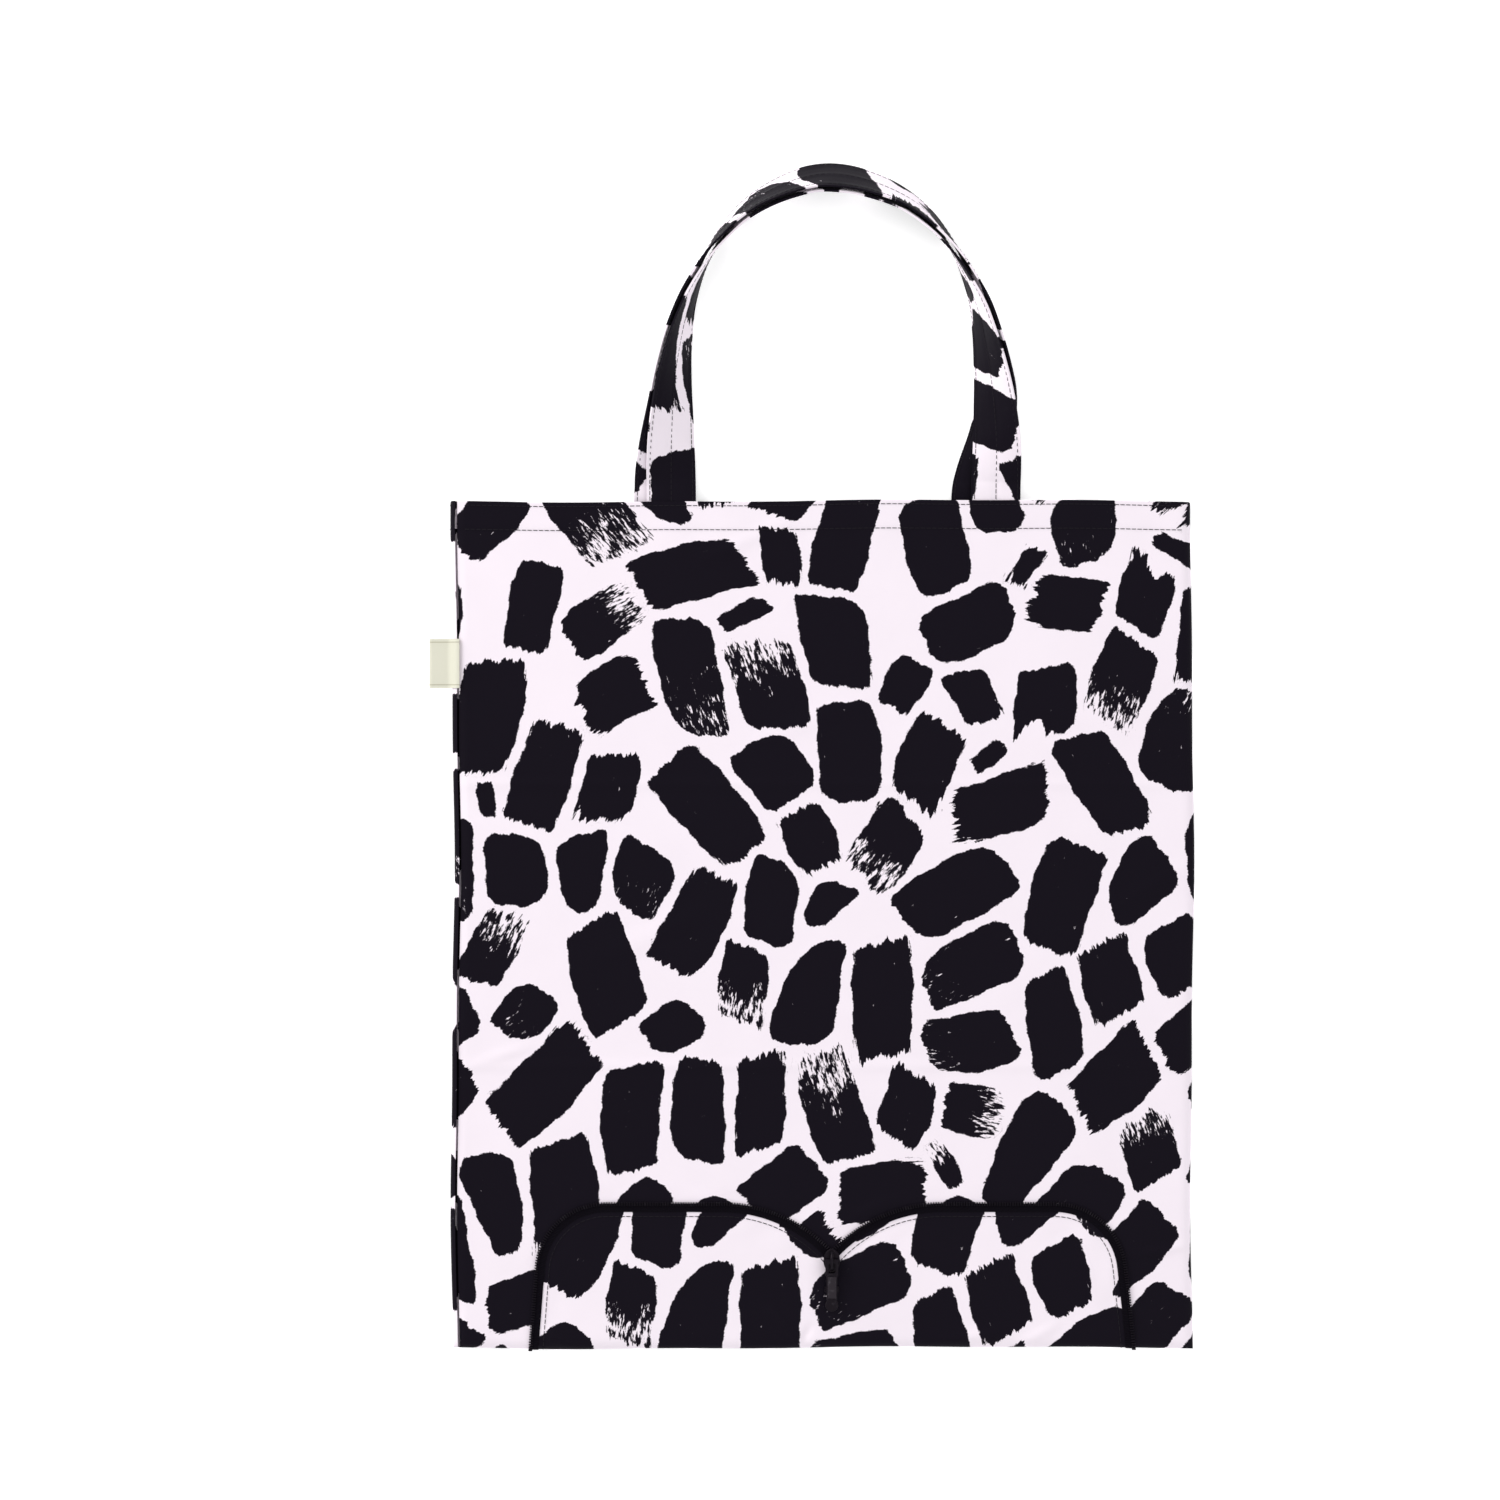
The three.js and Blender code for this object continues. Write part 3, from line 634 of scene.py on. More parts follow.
# %% [markdown]
# ## The line of the zip
#
# The pouch is closed by one long zip that starts in the dip at the middle of the front, runs out
# and down each side, turns under the bottom edge, and comes back up the same way on the back. Its
# line is two arcs, two straights and nothing else, so it is worked out here, and the tape, the
# teeth, the stitching and the cut between the two cloths all follow it.

# %% Sizes of the pouch
SPINE_X = sum(corner.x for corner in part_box("zip_slider_body")) / 2 / MM
POUCH_TOP = 74
POUCH_HALF = 154
DIP_RADIUS, DIP_REACH = 77, 56
CORNER = 36
LEAN = math.radians(5.3)
CORNER_H = POUCH_TOP - CORNER
CORNER_X = POUCH_HALF - (CORNER + CORNER_H * math.sin(LEAN)) / math.cos(LEAN)


def pouch_inset(x, y):
    """How far a place is inside the zip's line, in mm."""
    away, height = np.abs(x - SPINE_X), y - BOTTOM_Y
    in_dip = DIP_RADIUS - np.hypot(DIP_REACH - away, height - POUCH_TOP + DIP_RADIUS)
    top = np.where(away < DIP_REACH, in_dip, POUCH_TOP - height)
    wall = (POUCH_HALF - height * math.tan(LEAN) - away) * math.cos(LEAN)
    corner = CORNER - np.hypot(away - CORNER_X, height - CORNER_H)
    in_corner = (away > CORNER_X) & (height > CORNER_H)
    return np.where(in_corner, corner, np.minimum(top, wall))


def evenly(points, step):
    """Points at even steps along a line, with the direction of the line at each."""
    points = np.asarray(points, float)
    run = np.concatenate([[0], np.cumsum(np.linalg.norm(np.diff(points, axis=0), axis=1))])
    at = np.linspace(0, run[-1], max(2, round(run[-1] / step) + 1))
    new = np.stack([np.interp(at, run, points[:, k]) for k in range(points.shape[1])], axis=1)
    return new, unit(np.gradient(new, axis=0))


def half_zip_line(side, inset, step):
    """From the dip to the bottom edge on one side, on the flat cloth, at an inset from the line."""
    dip = np.arange(1.0, DIP_REACH, 1.0)
    radius = DIP_RADIUS - inset
    dip_h = POUCH_TOP - DIP_RADIUS + np.sqrt(radius ** 2 - (DIP_REACH - dip) ** 2)
    turns = np.linspace(math.pi / 2, LEAN, 24)
    corner_x = CORNER_X + (CORNER - inset) * np.cos(turns)
    corner_h = CORNER_H + (CORNER - inset) * np.sin(turns)
    end_h = FLAT_BOTTOM - BOTTOM_Y
    end_x = corner_x[-1] + (corner_h[-1] - end_h) * math.tan(LEAN)
    x = np.concatenate([dip, corner_x, [end_x]])
    h = np.concatenate([dip_h, corner_h, [end_h]])
    return evenly(np.stack([SPINE_X + side * x, BOTTOM_Y + h], axis=1), step)[0]


def on_bag(flat, front, lift=0.0):
    return np.where(np.asarray(front)[:, None], lay(flat[:, 0], flat[:, 1], True, lift),
                    lay(flat[:, 0], flat[:, 1], False, lift))


def whole_zip_line(side, inset, step):
    """Down the front and up the back on one side: flat places, and which of them are in front."""
    half = half_zip_line(side, inset, step)
    flat = np.concatenate([half, half[-2::-1]])
    return flat, np.arange(len(flat)) < len(half)


print("zip, one side of one face:", round(len(half_zip_line(1, 0, 1))), "mm")

# %% [markdown]
# ## The panels and the pouch cover
#
# Each panel is one cloth, but the bag folds in thirds, and a piece can only bend between two
# bodies. So a panel is cut in two across its middle, where it never bends.
# Inside the zip's line the lower half is cut away, and the pouch cover, from another part of the
# cloth, lies in its place. Both edges are hidden by the zip's tape.

# %% Cloth pieces
PRINT_STEP = 1.45  # mm between points, fine enough for the print
CLOTH_WALL = 0.28
UNDER_TAPE = (3.1, 2.6)  # the cover starts and the panel ends under the tape


def turned_out(piece):
    edit_all(piece)
    bpy.ops.mesh.flip_normals()
    edited()


def pick_faces(piece, chosen):
    """Selects just these faces and enters edit mode."""
    only(piece)
    bpy.context.tool_settings.mesh_select_mode = (False, False, True)
    mesh = piece.data
    mesh.vertices.foreach_set("select", np.zeros(len(mesh.vertices), bool))
    mesh.edges.foreach_set("select", np.zeros(len(mesh.edges), bool))
    mesh.polygons.foreach_set("select", np.asarray(chosen, bool))
    bpy.ops.object.mode_set(mode="EDIT")


def without(piece, gone):
    """Deletes the faces whose corners are all marked as gone."""
    corners = np.array([list(face.vertices) for face in piece.data.polygons])
    pick_faces(piece, gone[corners].all(axis=1))
    bpy.ops.mesh.delete(type="FACE")
    edited()


def cloth_piece(name, x_range, y_range, front, shift, flip=1, gone=None, lift=0.0, step=PRINT_STEP):
    columns = round((x_range[1] - x_range[0]) / step)
    rows = round((y_range[1] - y_range[0]) / step)
    piece, across, up = new_grid(name, columns, rows)
    flat_x = x_range[0] + across * (x_range[1] - x_range[0])
    flat_y = y_range[0] + up * (y_range[1] - y_range[0])
    flat = np.stack([flat_x, flat_y], axis=1)
    put_points(piece, lay(flat_x, flat_y, front, lift))
    put_flat(piece, flat)
    print_cloth(piece, flat, shift, flip)
    if not front:
        turned_out(piece)
    area = (x_range[1] - x_range[0]) * (y_range[1] - y_range[0])
    if gone:
        lost = gone(pouch_inset(flat_x, flat_y))
        area = area * (1 - lost.mean())
        without(piece, lost)
    applied(piece, "SOLIDIFY", thickness=CLOTH_WALL * MM, offset=-1)
    smoothed(piece)
    flat_size = ((x_range[1] - x_range[0]) * MM, (y_range[1] - y_range[0]) * MM)
    return piece, flat_size, area * MM * MM


def crease(piece):
    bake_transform(piece)


PANELS = {
    "front": (True, (LEFT_SEAM_X, FLAT_RIGHT), (0, 0), 1),
    "back": (False, (FLAT_BACK_LEFT, FLAT_RIGHT), (131, 77), -1),
}
COVER_X = (SPINE_X - POUCH_HALF - 2, SPINE_X + POUCH_HALF + 2)
COVER_Y = (FLAT_BOTTOM, BOTTOM_Y + POUCH_TOP + 1)
for face, (is_front, x_range, shift, flip) in PANELS.items():
    lower, size, area = cloth_piece(
        face + "_cloth_lower", x_range, (FLAT_BOTTOM, 0), is_front, shift, flip,
        lambda inset: inset > UNDER_TAPE[1])
    finished(lower, None, printed_cloth, "printed_cloth",
             face + "_panel_lower", face + "_panel_middle")
    crease(lower)
    upper, size, area = cloth_piece(face + "_cloth_upper", x_range, (0, TOP_Y), is_front, shift, flip)
    finished(upper, None, printed_cloth, "printed_cloth", face + "_panel_upper")
    crease(upper)
    cover, size, area = cloth_piece(
        face + "_pouch_cover", COVER_X, COVER_Y, is_front, (shift[0] + 57, shift[1] + 163), flip,
        lambda inset: inset < UNDER_TAPE[0], 0.12)
    finished(cover, "lower", printed_cloth, "printed_cloth", "pouch_cover_" + face)
    print(face, "panel and cover:", sum(len(p.data.polygons) for p in (lower, upper, cover)), "faces")
for side in ("left", "right"):
    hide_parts(side + "_bottom_corner",
                side + "_side_seam_lower", side + "_side_seam_middle")
    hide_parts(side + "_side_seam_upper")
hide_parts("pouch_bottom_fold")

# %% [markdown]
# ## The top hems
#
# The cloth is turned in along the top and sewn down, so the edge that shows is a fold, and inside
# the bag's mouth a second layer hangs down. That inner layer is its own strip here, rolled over the
# top edge from the outside.

# %% Hems
HEM_FOLD = 0.6  # how far the folded edge stands past the top
HEM_TURN = 2  # the cloth used up in the fold


def hem(face, is_front, x_range, shift, flip):
    columns = round((x_range[1] - x_range[0]) / 3)
    piece, across, up = new_grid(face + "_hem", columns, 14)
    flat_x = x_range[0] + across * (x_range[1] - x_range[0])
    depth = TOP_Y - HEM_LINE
    over = up * (depth + HEM_TURN)
    turn = np.clip(over / HEM_TURN, 0, 1) * math.pi
    y = TOP_Y + HEM_FOLD * np.sin(turn) - np.clip(over - HEM_TURN, 0, None)
    place = lay(flat_x, np.minimum(y, TOP_Y), is_front, -HEM_FOLD * (1 - np.cos(turn)) / 2 - 0.1)
    place[:, 1] += np.maximum(y - TOP_Y, 0)
    put_points(piece, place)
    flat = np.stack([flat_x, TOP_Y + over], axis=1)
    put_flat(piece, flat)
    print_cloth(piece, flat, shift, flip)
    if not is_front:
        turned_out(piece)
    applied(piece, "SOLIDIFY", thickness=CLOTH_WALL * MM, offset=-1)
    smoothed(piece, 60)
    finished(piece, "upper", printed_cloth, "printed_cloth", face + "_top_hem")
    width = x_range[1] - x_range[0]
    width * MM


for face, (is_front, x_range, shift, flip) in PANELS.items():
    hem(face, is_front, x_range, shift, flip)

# %% [markdown]
# ## Small parts in rows
#
# Stitches and zip teeth come in hundreds. One of each is modelled with a few dozen faces, and a
# helper copies it along a line: every copy stands on the surface, turned along the line.

# %% One stitch and one tooth
THREAD = Shop("thread", (0.014, 0.012, 0.016), 0.85, Specular_IOR_Level=0.1)
twist = THREAD.waves(THREAD.in_space(), "DIAGONAL", 900)
THREAD.set("Roughness", 0.75 + twist * 0.1)
THREAD.bump(twist, 0.00005, 0.5)


def small_block(name, length, width, height, bevel):
    """A bar with bevelled edges that lies on z = 0. Its mesh is in mm, to be copied as it is."""
    return solid_box(name, (-length / 2, -width / 2, 0), (length / 2, width / 2, height), bevel, 1, 1)


def in_a_row(name, pattern, places, alongs, ups):
    """One mesh of many copies of a pattern: each stands at a place, turned along the line."""
    ups = unit(ups)
    sides = unit(np.cross(ups, alongs))
    alongs = np.cross(sides, ups)
    corners = corners_of(pattern)
    faces = [list(f.vertices) for f in pattern.data.polygons]
    points, all_faces = [], []
    for place, along, side, up in zip(places, alongs, sides, ups):
        first = len(points) * len(corners)
        points.append(place + corners @ np.stack([along, side, up]))
        all_faces += [[corner + first for corner in face] for face in faces]
    return mesh_piece(name, np.concatenate(points), all_faces)


STITCH_PITCH = 2.9
stitch = small_block("stitch", 2.25, 0.36, 0.2, 0.08)


def sewn_line(name, flat, front, body, lift=0.05):
    """A row of stitches along a line on the bag, given by its places on the flat cloth."""
    line = on_bag(flat, front, lift)
    upright = on_bag(flat, front, lift + 1) - line
    both, _ = evenly(np.concatenate([line, upright], axis=1), STITCH_PITCH)
    even_line, even_up = both[:, :3], both[:, 3:]
    piece = in_a_row(name, stitch, even_line, unit(np.gradient(even_line, axis=0)), even_up)
    finished(piece, body, THREAD.material, "printed_cloth")
    print(name, len(even_line), "stitches")
    return piece


# %% [markdown]
# ## Topstitching on the bag
#
# Two rows hold each hem: one where the turned edge ends, one close to the fold. Another row runs
# just inside the zip's tape, all the way round the pouch cover.

# %% Sew the hems and the pouch cover
def straight(x0, x1, y):
    x = np.arange(x0, x1, 2.0)
    return np.stack([x, np.full(len(x), float(y))], axis=1)


for face, (is_front, x_range, shift, flip) in PANELS.items():
    for row, y in (("low", HEM_LINE - 0.4), ("high", TOP_Y - 1.6)):
        flat = straight(x_range[0] + 5, HALF_WIDTH - 5, y)
        sewn_line(face + "_hem_stitches_" + row, flat, np.full(len(flat), is_front), "upper")
TOPSTITCH_INSET = 7.0
for side_name, side in (("left", -1), ("right", 1)):
    flat, in_front = whole_zip_line(side, TOPSTITCH_INSET, 2)
    sewn_line("cover_stitches_" + side_name, flat, in_front, "lower", 0.2)

# %% [markdown]
# ## The zip
#
# The tape is a strip of woven black ribbon. On its outer edge sits a fine nylon coil, which reads as
# a row of tiny ridges. The tape is a grid laid along the zip's line like the cloth, and the coil is
# a row of small bevelled teeth.

# %% Zip finishes
def make_tape():
    shop = Shop("zip_tape", (0.012, 0.011, 0.014), 0.85, Specular_IOR_Level=0.04)
    place = shop.on_cloth()
    ribs = shop.waves(place, "X", 36)
    herring = shop.waves(place, "DIAGONAL", 22)
    dark, light = (0.0026, 0.0018, 0.0036, 1), (0.0075, 0.006, 0.0095, 1)
    shop.set("Base Color", shop.mix(ribs * 0.6, dark, light))
    shop.set("Roughness", 0.8 + herring * 0.12)
    shop.bump(ribs + herring, 0.00012, 0.7)
    return shop.material


def make_plain(name, dark, light, roughness, metallic, scale, shine, relief=0.35):
    shop = Shop(name, dark, roughness, metallic, Specular_IOR_Level=shine)
    shop.set("Specular Tint", (1, 0.86, 1, 1))
    place = shop.in_space()
    cloud = shop.noise(place, scale=scale, detail=3)
    # Random paler patches in the colour: partly wear, partly painted glints that stand for small
    # highlights on the metal.
    wear_and_glints = ((shop.noise(place, scale=scale * 0.35, detail=4) - 0.56) * 7).clamped()
    shop.set("Base Color", shop.mix(wear_and_glints * 0.6, (*dark, 1), (*light, 1)))
    shop.set("Roughness", roughness - 0.06 + cloud * 0.14)
    shop.bump(cloud, 0.00004, relief)
    return shop.material


tape_finish = make_tape()
teeth_finish = make_plain(
    "zip_teeth", (0.005, 0.004, 0.0065), (0.02, 0.018, 0.023), 0.45, 0.0, 900, 0.1)
enamel = make_plain(
    "zip_metal", (0.005, 0.0036, 0.006), (0.03, 0.027, 0.033), 0.3, 0.05, 1100, 0.14)
# Paler enamel for the pull's raised panel: a painted highlight for the light its raised face catches.
highlight_enamel = make_plain(
    "worn_zip_metal", (0.011, 0.009, 0.012), (0.06, 0.056, 0.063), 0.36, 0.1, 1300, 0.34, 1.0)


# %% Tape and teeth
TAPE = (0.4, 4.7)
TAPE_LIFT = 0.5
TOOTH_INSET = 0.55
TOOTH_PITCH = 1.3
tooth = small_block("tooth", 0.72, 2.0, 0.85, 0.2)


def tape_strip(side_name, side):
    columns, rows = 520, 5
    piece, along, across = new_grid("zip_tape_strip_" + side_name, columns, rows)
    shares = np.linspace(0, 1, rows + 1)
    places = {}
    for row, share in enumerate(shares):
        inset = TAPE[0] + share * (TAPE[1] - TAPE[0])
        flat, in_front = whole_zip_line(side, inset, 1)
        line = on_bag(flat, in_front, TAPE_LIFT)
        even = np.linspace(0, 1, columns + 1)
        at = np.linspace(0, 1, len(line))
        places[row] = np.stack([np.interp(even, at, line[:, k]) for k in range(3)], axis=1)
    row_of = np.rint(across * rows).astype(int)
    column_of = np.rint(along * columns).astype(int)
    points = np.array([places[r][c] for r, c in zip(row_of, column_of)])
    length = np.linalg.norm(np.diff(places[0], axis=0), axis=1).sum()
    put_points(piece, points)
    put_flat(piece, np.stack([along * length, across * (TAPE[1] - TAPE[0])], axis=1))
    if side > 0:
        turned_out(piece)
    applied(piece, "SOLIDIFY", thickness=0.4 * MM, offset=-1)
    smoothed(piece)
    finished(piece, "lower", tape_finish, "zip_tape", "zip_tape_" + side_name)
    return length


def teeth_row(side_name, side):
    flat, in_front = whole_zip_line(side, TOOTH_INSET, 0.6)
    line = on_bag(flat, in_front, TAPE_LIFT)
    upright = on_bag(flat, in_front, TAPE_LIFT + 1) - line
    both, _ = evenly(np.concatenate([line, upright], axis=1), TOOTH_PITCH)
    meshed_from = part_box("zip_bottom_stop")[1].y / MM + 0.9
    meshed_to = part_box("zip_slider_body")[1].y / MM - 4
    meshed_y = np.arange(meshed_from, meshed_to, TOOTH_PITCH)
    meshed = np.stack([np.full(len(meshed_y), SPINE_X + side * 0.95), meshed_y], axis=1)
    meshed_line = on_bag(meshed, np.ones(len(meshed), bool), TAPE_LIFT)
    line = np.concatenate([both[:, :3], meshed_line])
    ups = np.concatenate([both[:, 3:], np.tile((0, 0, 1), (len(meshed), 1))])
    alongs = np.concatenate([np.gradient(both[:, :3], axis=0), np.tile((0, 1, 0), (len(meshed), 1))])
    piece = in_a_row("zip_coil_" + side_name, tooth, line, alongs, ups)
    finished(piece, "lower", teeth_finish, "zip_teeth", "zip_teeth_" + side_name)
    return len(line)


for side_name, side in (("left", -1), ("right", 1)):
    length = tape_strip(side_name, side)
    print(side_name, "tape", round(length), "mm,", teeth_row(side_name, side), "teeth")
for node in ("zip_bottom_stop", "zip_top_stop_left", "zip_top_stop_right"):
    for holder in bpy.data.objects[node].material_slots:
        holder.material = enamel

# %% [markdown]
# ## Slider and pull
#
# The slider is a small oval casting with a low rim, two flanges that hold the teeth, and an arch on
# top that carries the pull. Each is modelled from a primitive at the frame's size. The pull is a flat
# plate with an eye at one end. A blank panel stands up from its face, and its enamel is painted a
# little paler: a painted highlight for the light its raised face catches.

# %% Helpers for metal
def joined(name, *blocks):
    nothing_selected()
    for block in blocks:
        block.select_set(True)
    bpy.context.view_layer.objects.active = blocks[0]
    bpy.ops.object.join()
    return named(blocks[0], name)


def inset_top(piece, thickness, depth):
    """Presses a panel into the faces that look up."""
    highest = max(v.co.z for v in piece.data.vertices)
    faces = piece.data.polygons
    pick_faces(piece, [f.normal.z > 0.99 and f.center.z > highest - 0.05 * MM for f in faces])
    bpy.ops.mesh.inset(thickness=thickness * MM)
    bpy.ops.transform.translate(value=(0, 0, -depth * MM))
    edited()


# %% Slider body
body_low, body_high = box_mm("zip_slider_body")
ROOF = 1.0
FLANGE_X = (2.65, 3.5)  # from the spine to a flange's two faces
FLANGE_SHORT = (5.0, 3.2)  # how far the flanges stop short of the casting's two ends
nothing_selected()
bpy.ops.mesh.primitive_cylinder_add(vertices=48, radius=0.5, depth=1)
roof = bpy.context.object
edit_all(roof)
roof_size = Vector((body_high.x - body_low.x, body_high.y - body_low.y, ROOF)) * MM
roof_middle = Vector((SPINE_X, (body_low.y + body_high.y) / 2, body_high.z - ROOF / 2)) * MM
bpy.ops.transform.resize(value=roof_size)
bpy.ops.transform.translate(value=roof_middle)
edited()
applied(roof, "BEVEL", width=0.3 * MM, segments=3, limit_method="ANGLE")
inset_top(roof, 0.7, 0.18)
flanges = []
for side in (-1, 1):
    left, right = sorted(SPINE_X + side * x for x in FLANGE_X)
    low = (left, body_low.y + FLANGE_SHORT[0], body_low.z)
    high = (right, body_high.y - FLANGE_SHORT[1], body_high.z - ROOF / 2)
    flanges.append(solid_box("flange", low, high, 0.2))
slider = smoothed(joined("slider_casting", roof, *flanges), 35)
finished(slider, "slider", enamel, "zip_metal", "zip_slider_body")
print("slider", [round(v, 1) for v in body_high - body_low])

# %% Arch on the slider
arch_low, arch_high = box_mm("zip_slider_bridge")
nothing_selected()
bpy.ops.mesh.primitive_torus_add(
    major_radius=2.0, minor_radius=0.5, major_segments=40, minor_segments=12)
arch = bpy.context.object
edit_all(arch)
bpy.ops.transform.rotate(value=math.pi / 2, orient_axis="Y", center_override=(0, 0, 0))
bpy.ops.mesh.select_all(action="SELECT")
bpy.ops.mesh.bisect(plane_co=(0, 0, 0), plane_no=(0, 0, 1), clear_inner=True, use_fill=True)
edited()
corners = corners_of(arch)
arch_size = corners.max(axis=0) - corners.min(axis=0)
corners = (corners - corners.min(axis=0)) / arch_size * (arch_high - arch_low) + arch_low
put_points(arch, corners)
smoothed(named(arch, "slider_arch"), 50)
finished(arch, "slider", enamel, "zip_metal", "zip_slider_bridge")
print("arch", [round(v, 1) for v in arch_high - arch_low])

# %% Pull
hinge = next(j for j in frame["joints"] if j["name"] == "pull_swing")["pos_m"]
PULL_LONG, PULL_HALF, PULL_THICK = 25.9, 3.3, 1.2
EYE_HALF, EYE_TOP, EYE_BOTTOM = 1.9, -0.9, -6.2
HEAD_BOTTOM = EYE_BOTTOM - 1.5
SHANK_HALF, SHANK_THICK = 2.75, 1.05
TIP_MIDDLE = PULL_HALF - PULL_LONG
PANEL_HALF, PANEL_BOTTOM, PANEL_TOP = SHANK_HALF - 0.6, TIP_MIDDLE + 3.6, HEAD_BOTTOM - 0.3
PANEL_SUNK, PANEL_PROUD = 0.1, 0.3
DROOP = math.radians(-5.5)


def flat_block(name, half, bottom, top, low, high, bevel, segments=3):
    return solid_box(name, (-half, bottom, low), (half, top, high), bevel, segments)


def combined(piece, other, operation):
    applied(piece, "BOOLEAN", object=other, operation=operation)
    bpy.data.objects.remove(other)


face_z = SHANK_THICK / 2
pull = flat_block("pull", PULL_HALF, HEAD_BOTTOM, 1.0, -PULL_THICK / 2, PULL_THICK / 2, 0.3)
shank = flat_block("shank", SHANK_HALF, TIP_MIDDLE, EYE_BOTTOM, -face_z, face_z, 0.2)
combined(pull, shank, "UNION")
nothing_selected()
bpy.ops.mesh.primitive_cylinder_add(
    vertices=40, radius=PULL_HALF * MM, depth=PULL_THICK * MM, location=(0, TIP_MIDDLE * MM, 0))
tip = bpy.context.object
bpy.ops.object.transform_apply(location=True)
applied(tip, "BEVEL", width=0.3 * MM, segments=3, limit_method="ANGLE")
combined(pull, tip, "UNION")
combined(pull, flat_block("eye", EYE_HALF, EYE_BOTTOM, EYE_TOP, -3, 3, 1.2, 4), "DIFFERENCE")
panel = flat_block("panel", PANEL_HALF, PANEL_BOTTOM, PANEL_TOP,
                   face_z - PANEL_SUNK, face_z + PANEL_PROUD, 0.15, 2)
inset_top(panel, 0.45, 0.18)
for piece, name in ((pull, "pull_plate"), (panel, "pull_panel")):
    corners = corners_of(named(piece, name))
    tilted = corners.copy()
    tilted[:, 1] = corners[:, 1] * math.cos(DROOP) + corners[:, 2] * math.sin(DROOP)
    tilted[:, 2] = corners[:, 2] * math.cos(DROOP) - corners[:, 1] * math.sin(DROOP)
    put_points(piece, (tilted + hinge) / MM)
    smoothed(piece, 35)
finished(pull, "pull_tab", enamel, "zip_metal", "zip_pull_tab")
# The raised panel takes the paler enamel, a painted highlight on its face.
finished(panel, "pull_tab", highlight_enamel, "zip_metal")

# %% [markdown]
# ## The strap handles
#
# Each handle is one strip of the printed cloth folded into a strap 25 mm wide and sewn three times
# along. It leaves the hem flat, then turns on edge as it bends over the crown, so from above it looks
# thin there. The line of the strap is a smooth curve through a short list of points, and a frame that
# turns along it gives each place on the strap. The back strap lies behind the front one.

# %% The line of a strap
ARCH = [(-77, 0.3), (-77, 35), (-74.5, 70), (-67, 103), (-53, 130), (-32, 151), (2, 163),
        (40, 152), (63, 130), (77, 103), (84.5, 70), (88, 35), (88, 0.3)]
STRAP_WIDTH, STRAP_WALL, STRAP_SPACING = 25, 1.05, 2.8
FRONT_STRAP_Z = 4.7
STRAP_TURN = math.radians(124)
FLAT_SHARE, SHIFT_SHARE = 0.04, 0.3
BACK_FOOT_SHIFT = (6.5, -10)


def smooth_line(points, per_span=40):
    """A centripetal Catmull-Rom curve through the points."""
    points = np.array(points, float)
    padded = np.vstack([2 * points[0] - points[1], points, 2 * points[-1] - points[-2]])
    line = []
    for p0, p1, p2, p3 in zip(padded, padded[1:], padded[2:], padded[3:]):
        d0, d1, d2 = (np.linalg.norm(b - a) ** 0.5 for a, b in ((p0, p1), (p1, p2), (p2, p3)))
        m1 = d1 * ((p1 - p0) / d0 - (p2 - p0) / (d0 + d1) + (p2 - p1) / d1)
        m2 = d1 * ((p2 - p1) / d1 - (p3 - p1) / (d1 + d2) + (p3 - p2) / d2)
        t = np.linspace(0, 1, per_span, endpoint=False)[:, None]
        line.append((2 * t ** 3 - 3 * t ** 2 + 1) * p1 + (t ** 3 - 2 * t ** 2 + t) * m1
                    + (3 * t ** 2 - 2 * t ** 3) * p2 + (t ** 3 - t ** 2) * m2)
    return np.vstack([*line, points[-1:]])


ARCH_LINE = smooth_line(ARCH)
STRAP_LENGTH = np.linalg.norm(np.diff(ARCH_LINE, axis=0), axis=1).sum()
print("strap length", round(STRAP_LENGTH), "mm")


def strap_place(share, across, up, is_back):
    """The place at a share of the strap's length, in mm across from its middle and up its face."""
    even, along = evenly(ARCH_LINE, 0.5)
    at = np.linspace(0, 1, len(even))
    middle_x, above_hem = (np.interp(share, at, even[:, k]) for k in range(2))
    middle = np.stack([middle_x, TOP_Y + above_hem], axis=1)
    along = unit(np.stack([np.interp(share, at, along[:, k]) for k in range(2)], axis=1))
    to_crown = 2 * np.minimum(share, 1 - share)
    turning = np.clip((to_crown - FLAT_SHARE) / (1 - FLAT_SHARE), 0, 1)
    turn = STRAP_TURN * (1 - (1 - turning) ** 1.5)
    foot_shift = np.where(share < 0.5, *BACK_FOOT_SHIFT) * (1 - smoothstep(0, SHIFT_SHARE, to_crown))
    outwards = np.stack([-along[:, 1], along[:, 0], 0 * turn], axis=1)
    upwards = np.stack([0 * turn, 0 * turn, 0 * turn + 1], axis=1)
    sine, cosine = np.sin(turn)[:, None], np.cos(turn)[:, None]
    width, face = outwards * cosine + upwards * sine, upwards * cosine - outwards * sine
    low_edge = (STRAP_WIDTH / 2 + np.maximum(0, -foot_shift)) * np.sin(turn)
    height = np.maximum(FRONT_STRAP_Z, low_edge + STRAP_SPACING * np.maximum(0, np.cos(turn)) + 1.2)
    place = np.concatenate([middle, height[:, None]], axis=1)
    if is_back:
        place = place - STRAP_SPACING * face + foot_shift[:, None] * width
    return place + across[:, None] * width + up[:, None] * face, width, face


# %% [markdown]
# The three rows of stitches pull the strap in, so its face swells a little between them.

# %% Make the straps
SEW_LINES = (-10.9, 0.0, 10.9)
HANDLES = {"front": (False, (203, 31)), "back": (True, (60, 251))}


def flattened(piece):
    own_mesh(piece)


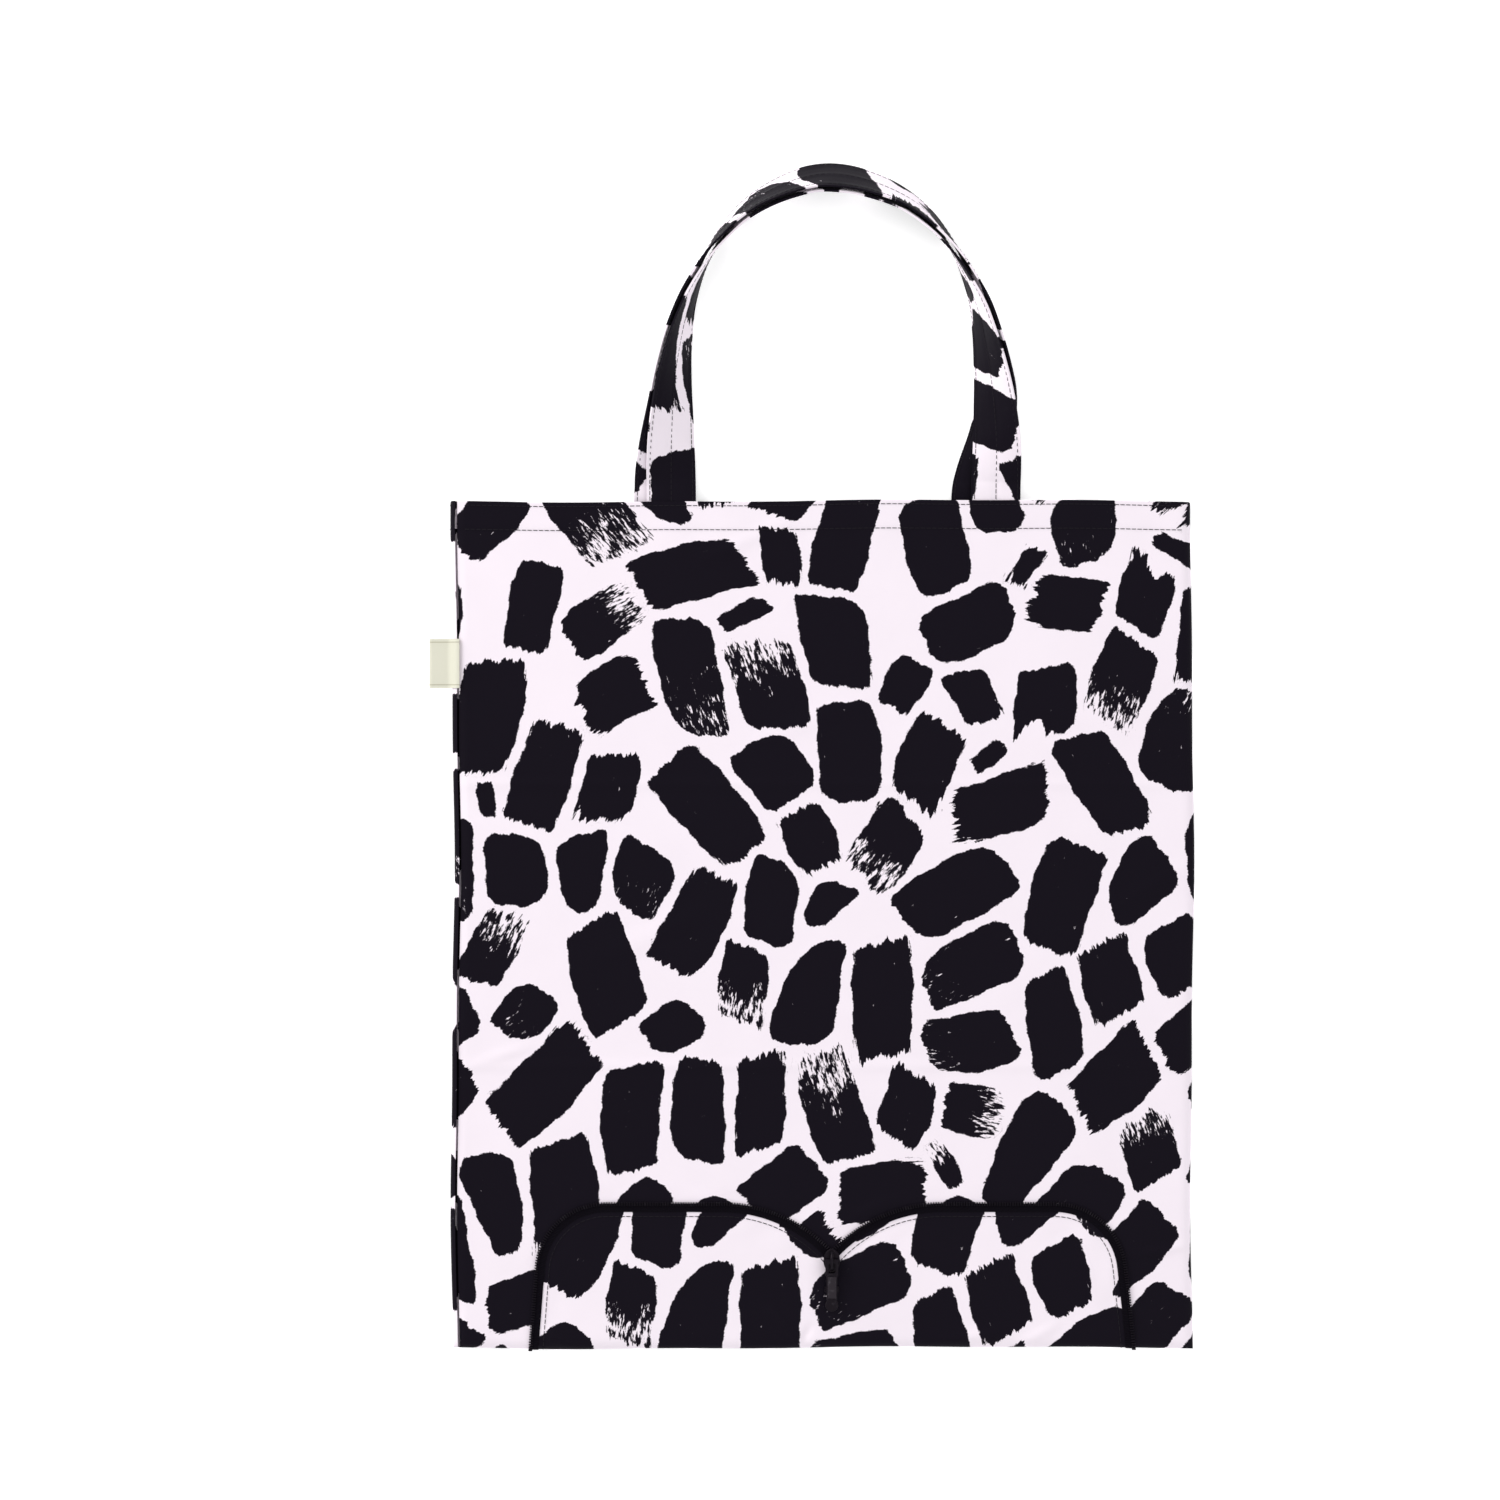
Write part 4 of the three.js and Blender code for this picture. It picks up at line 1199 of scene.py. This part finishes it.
def strap(handle, is_back, shift):
    piece, share, across = new_grid(handle + "_strap", 440, 24)
    offset = (across - 0.5) * STRAP_WIDTH
    to_line = np.min([np.abs(offset - line) for line in SEW_LINES], axis=0)
    swell = 0.22 * smoothstep(0, 3.5, to_line)
    swell = swell + 0.12 * np.sin(share * 90 + offset / 5) * np.sin(share * 23)
    put_points(piece, strap_place(share, offset, swell, is_back)[0])
    flat = np.stack([offset, share * STRAP_LENGTH], axis=1)
    put_flat(piece, flat)
    print_cloth(piece, flat, shift)
    turned_out(piece)
    applied(piece, "SOLIDIFY", thickness=STRAP_WALL * MM, offset=0, use_even_offset=True)
    smoothed(piece, 50)
    finished(piece, handle + "_handle", printed_cloth, "printed_cloth", handle + "_handle_strap")
    flattened(piece)
    rows = []
    for line in SEW_LINES:
        share = np.arange(1.5, STRAP_LENGTH - 1, STITCH_PITCH) / STRAP_LENGTH
        for side in (1, -1):
            lift = np.full(len(share), side * (STRAP_WALL / 2 - 0.02))
            place, width, face = strap_place(share, np.full(len(share), line), lift, is_back)
            rows.append((place, unit(np.gradient(place, axis=0)), side * face))
    rows = (np.concatenate(part) for part in zip(*rows))
    thread = in_a_row(handle + "_strap_stitches", stitch, *rows)
    finished(thread, handle + "_handle", THREAD.material, "printed_cloth")
    flattened(thread)


for handle, (is_back, shift) in HANDLES.items():
    strap(handle, is_back, shift)

# %% [markdown]
# ## Where the straps are sewn in
#
# The last 13 mm of each strap lies inside the hem. Little of it shows, but it is there when the bag's
# mouth is looked into, and it carries the strap's print on.

# %% Strap ends
STRAP_END_WALL = 1.0
for handle, (is_back, shift) in HANDLES.items():
    for side_name, share in (("left", 0.0), ("right", 1.0)):
        node = handle + "_strap_end_" + side_name
        low, high = box_mm(node)
        piece, across, up = new_grid(node + "_cloth", 24, 14)
        x, y = low.x + across * (high.x - low.x), low.y + up * (high.y - low.y)
        put_points(piece, np.stack([x, y, np.full(len(x), (low.z + high.z) / 2)], axis=1))
        sign = -1 if share == 0 else 1
        offset = -(across - 0.5) * STRAP_WIDTH * sign
        flat = np.stack([offset, share * STRAP_LENGTH + sign * (TOP_Y - y)], axis=1)
        put_flat(piece, flat)
        print_cloth(piece, flat, shift)
        applied(piece, "SOLIDIFY", thickness=STRAP_END_WALL * MM, offset=0)
        finished(smoothed(piece), "upper", printed_cloth, "printed_cloth", node)

# %% [markdown]
# ## The side label
#
# A short tab of cream ribbon is folded double and caught in the left seam. It is left blank, with a
# woven border. It is a grid rolled round its fold.

# %% Label
def make_ribbon():
    shop = Shop("label_ribbon", (0.75, 0.74, 0.63), 0.6)
    place = shop.on_cloth()
    warp = shop.waves(place, "Y", 70)
    height = shop.node("SeparateXYZ", {}, {0: place}, "Y")
    from_middle = shop.node("Math", {"operation": "ABSOLUTE"}, {0: height})
    border = ((from_middle - 0.104) * 400).clamped() - ((from_middle - 0.110) * 400).clamped()
    cream = shop.mix(warp * 0.35, (0.68, 0.67, 0.56, 1), (0.58, 0.57, 0.46, 1))
    shop.set("Base Color", shop.mix(border * 0.8, cream, (0.42, 0.40, 0.30, 1)))
    shop.set("Roughness", 0.55 + warp * 0.15)
    shop.bump(warp, 0.00006, 0.6)
    return shop.material


label_low, label_high = box_mm("side_label")
OVER_ROLL = 3.1  # how much the label rises to pass over the roll of the left edge
LABEL_SEAM_X = LEFT_SEAM_X + 0.2
LABEL_REACH, LABEL_TALL = LABEL_SEAM_X - label_low.x, label_high.y - label_low.y
label, along, up = new_grid("folded_label", 48, 30)
folded_length = 2 * LABEL_REACH
run = along * folded_length
fold = 0.45
turn = np.clip((run - LABEL_REACH + fold) / (2 * fold), 0, 1) * math.pi
x = LABEL_SEAM_X - np.minimum(run, folded_length - run)
over_roll = OVER_ROLL * smoothstep(LEFT_SEAM_X - ROLL - 2.5, LEFT_SEAM_X - 0.5, x)
z = (label_low.z + label_high.z) / 2 + 0.2 + over_roll + fold * np.cos(turn)
sag = 0.25 * np.sin(up * 5 + 1) * (np.minimum(run, folded_length - run) / LABEL_REACH)
put_points(label, np.stack([x, label_low.y + up * LABEL_TALL, z + sag], axis=1))
put_flat(label, np.stack([run, (up - 0.5) * LABEL_TALL], axis=1))
applied(label, "SOLIDIFY", thickness=0.25 * MM, offset=0)
finished(smoothed(label, 60), "upper", make_ribbon(), "label_ribbon", "side_label")
print("label", round(LABEL_REACH, 1), "x", round(LABEL_TALL, 1), "mm")
for pattern in (stitch, tooth):
    bpy.data.objects.remove(pattern)

# %% [markdown]
# ## The floor
#
# The floor is a plain pale sheet, a hair below the bag so that the two never share a surface.

# %% Make the floor
FLOOR_GLOW = 0.42  # enough to keep the floor white beside the bag
nothing_selected()
bpy.ops.mesh.primitive_plane_add(size=8, location=(0, 0, -0.0002))
floor = bpy.context.object
floor.name = "floor"
floor_shop = Shop("floor_white", (0.97, 0.97, 0.97), 0.9)
floor_grain = floor_shop.noise(floor_shop.in_space(), scale=3, detail=1)
floor_shop.set("Roughness", floor_grain * 0.1 + 0.85)
floor_shop.set("Emission Color", (1, 1, 1, 1))
floor_shop.set("Emission Strength", FLOOR_GLOW)
floor.data.materials.append(floor_shop.material)
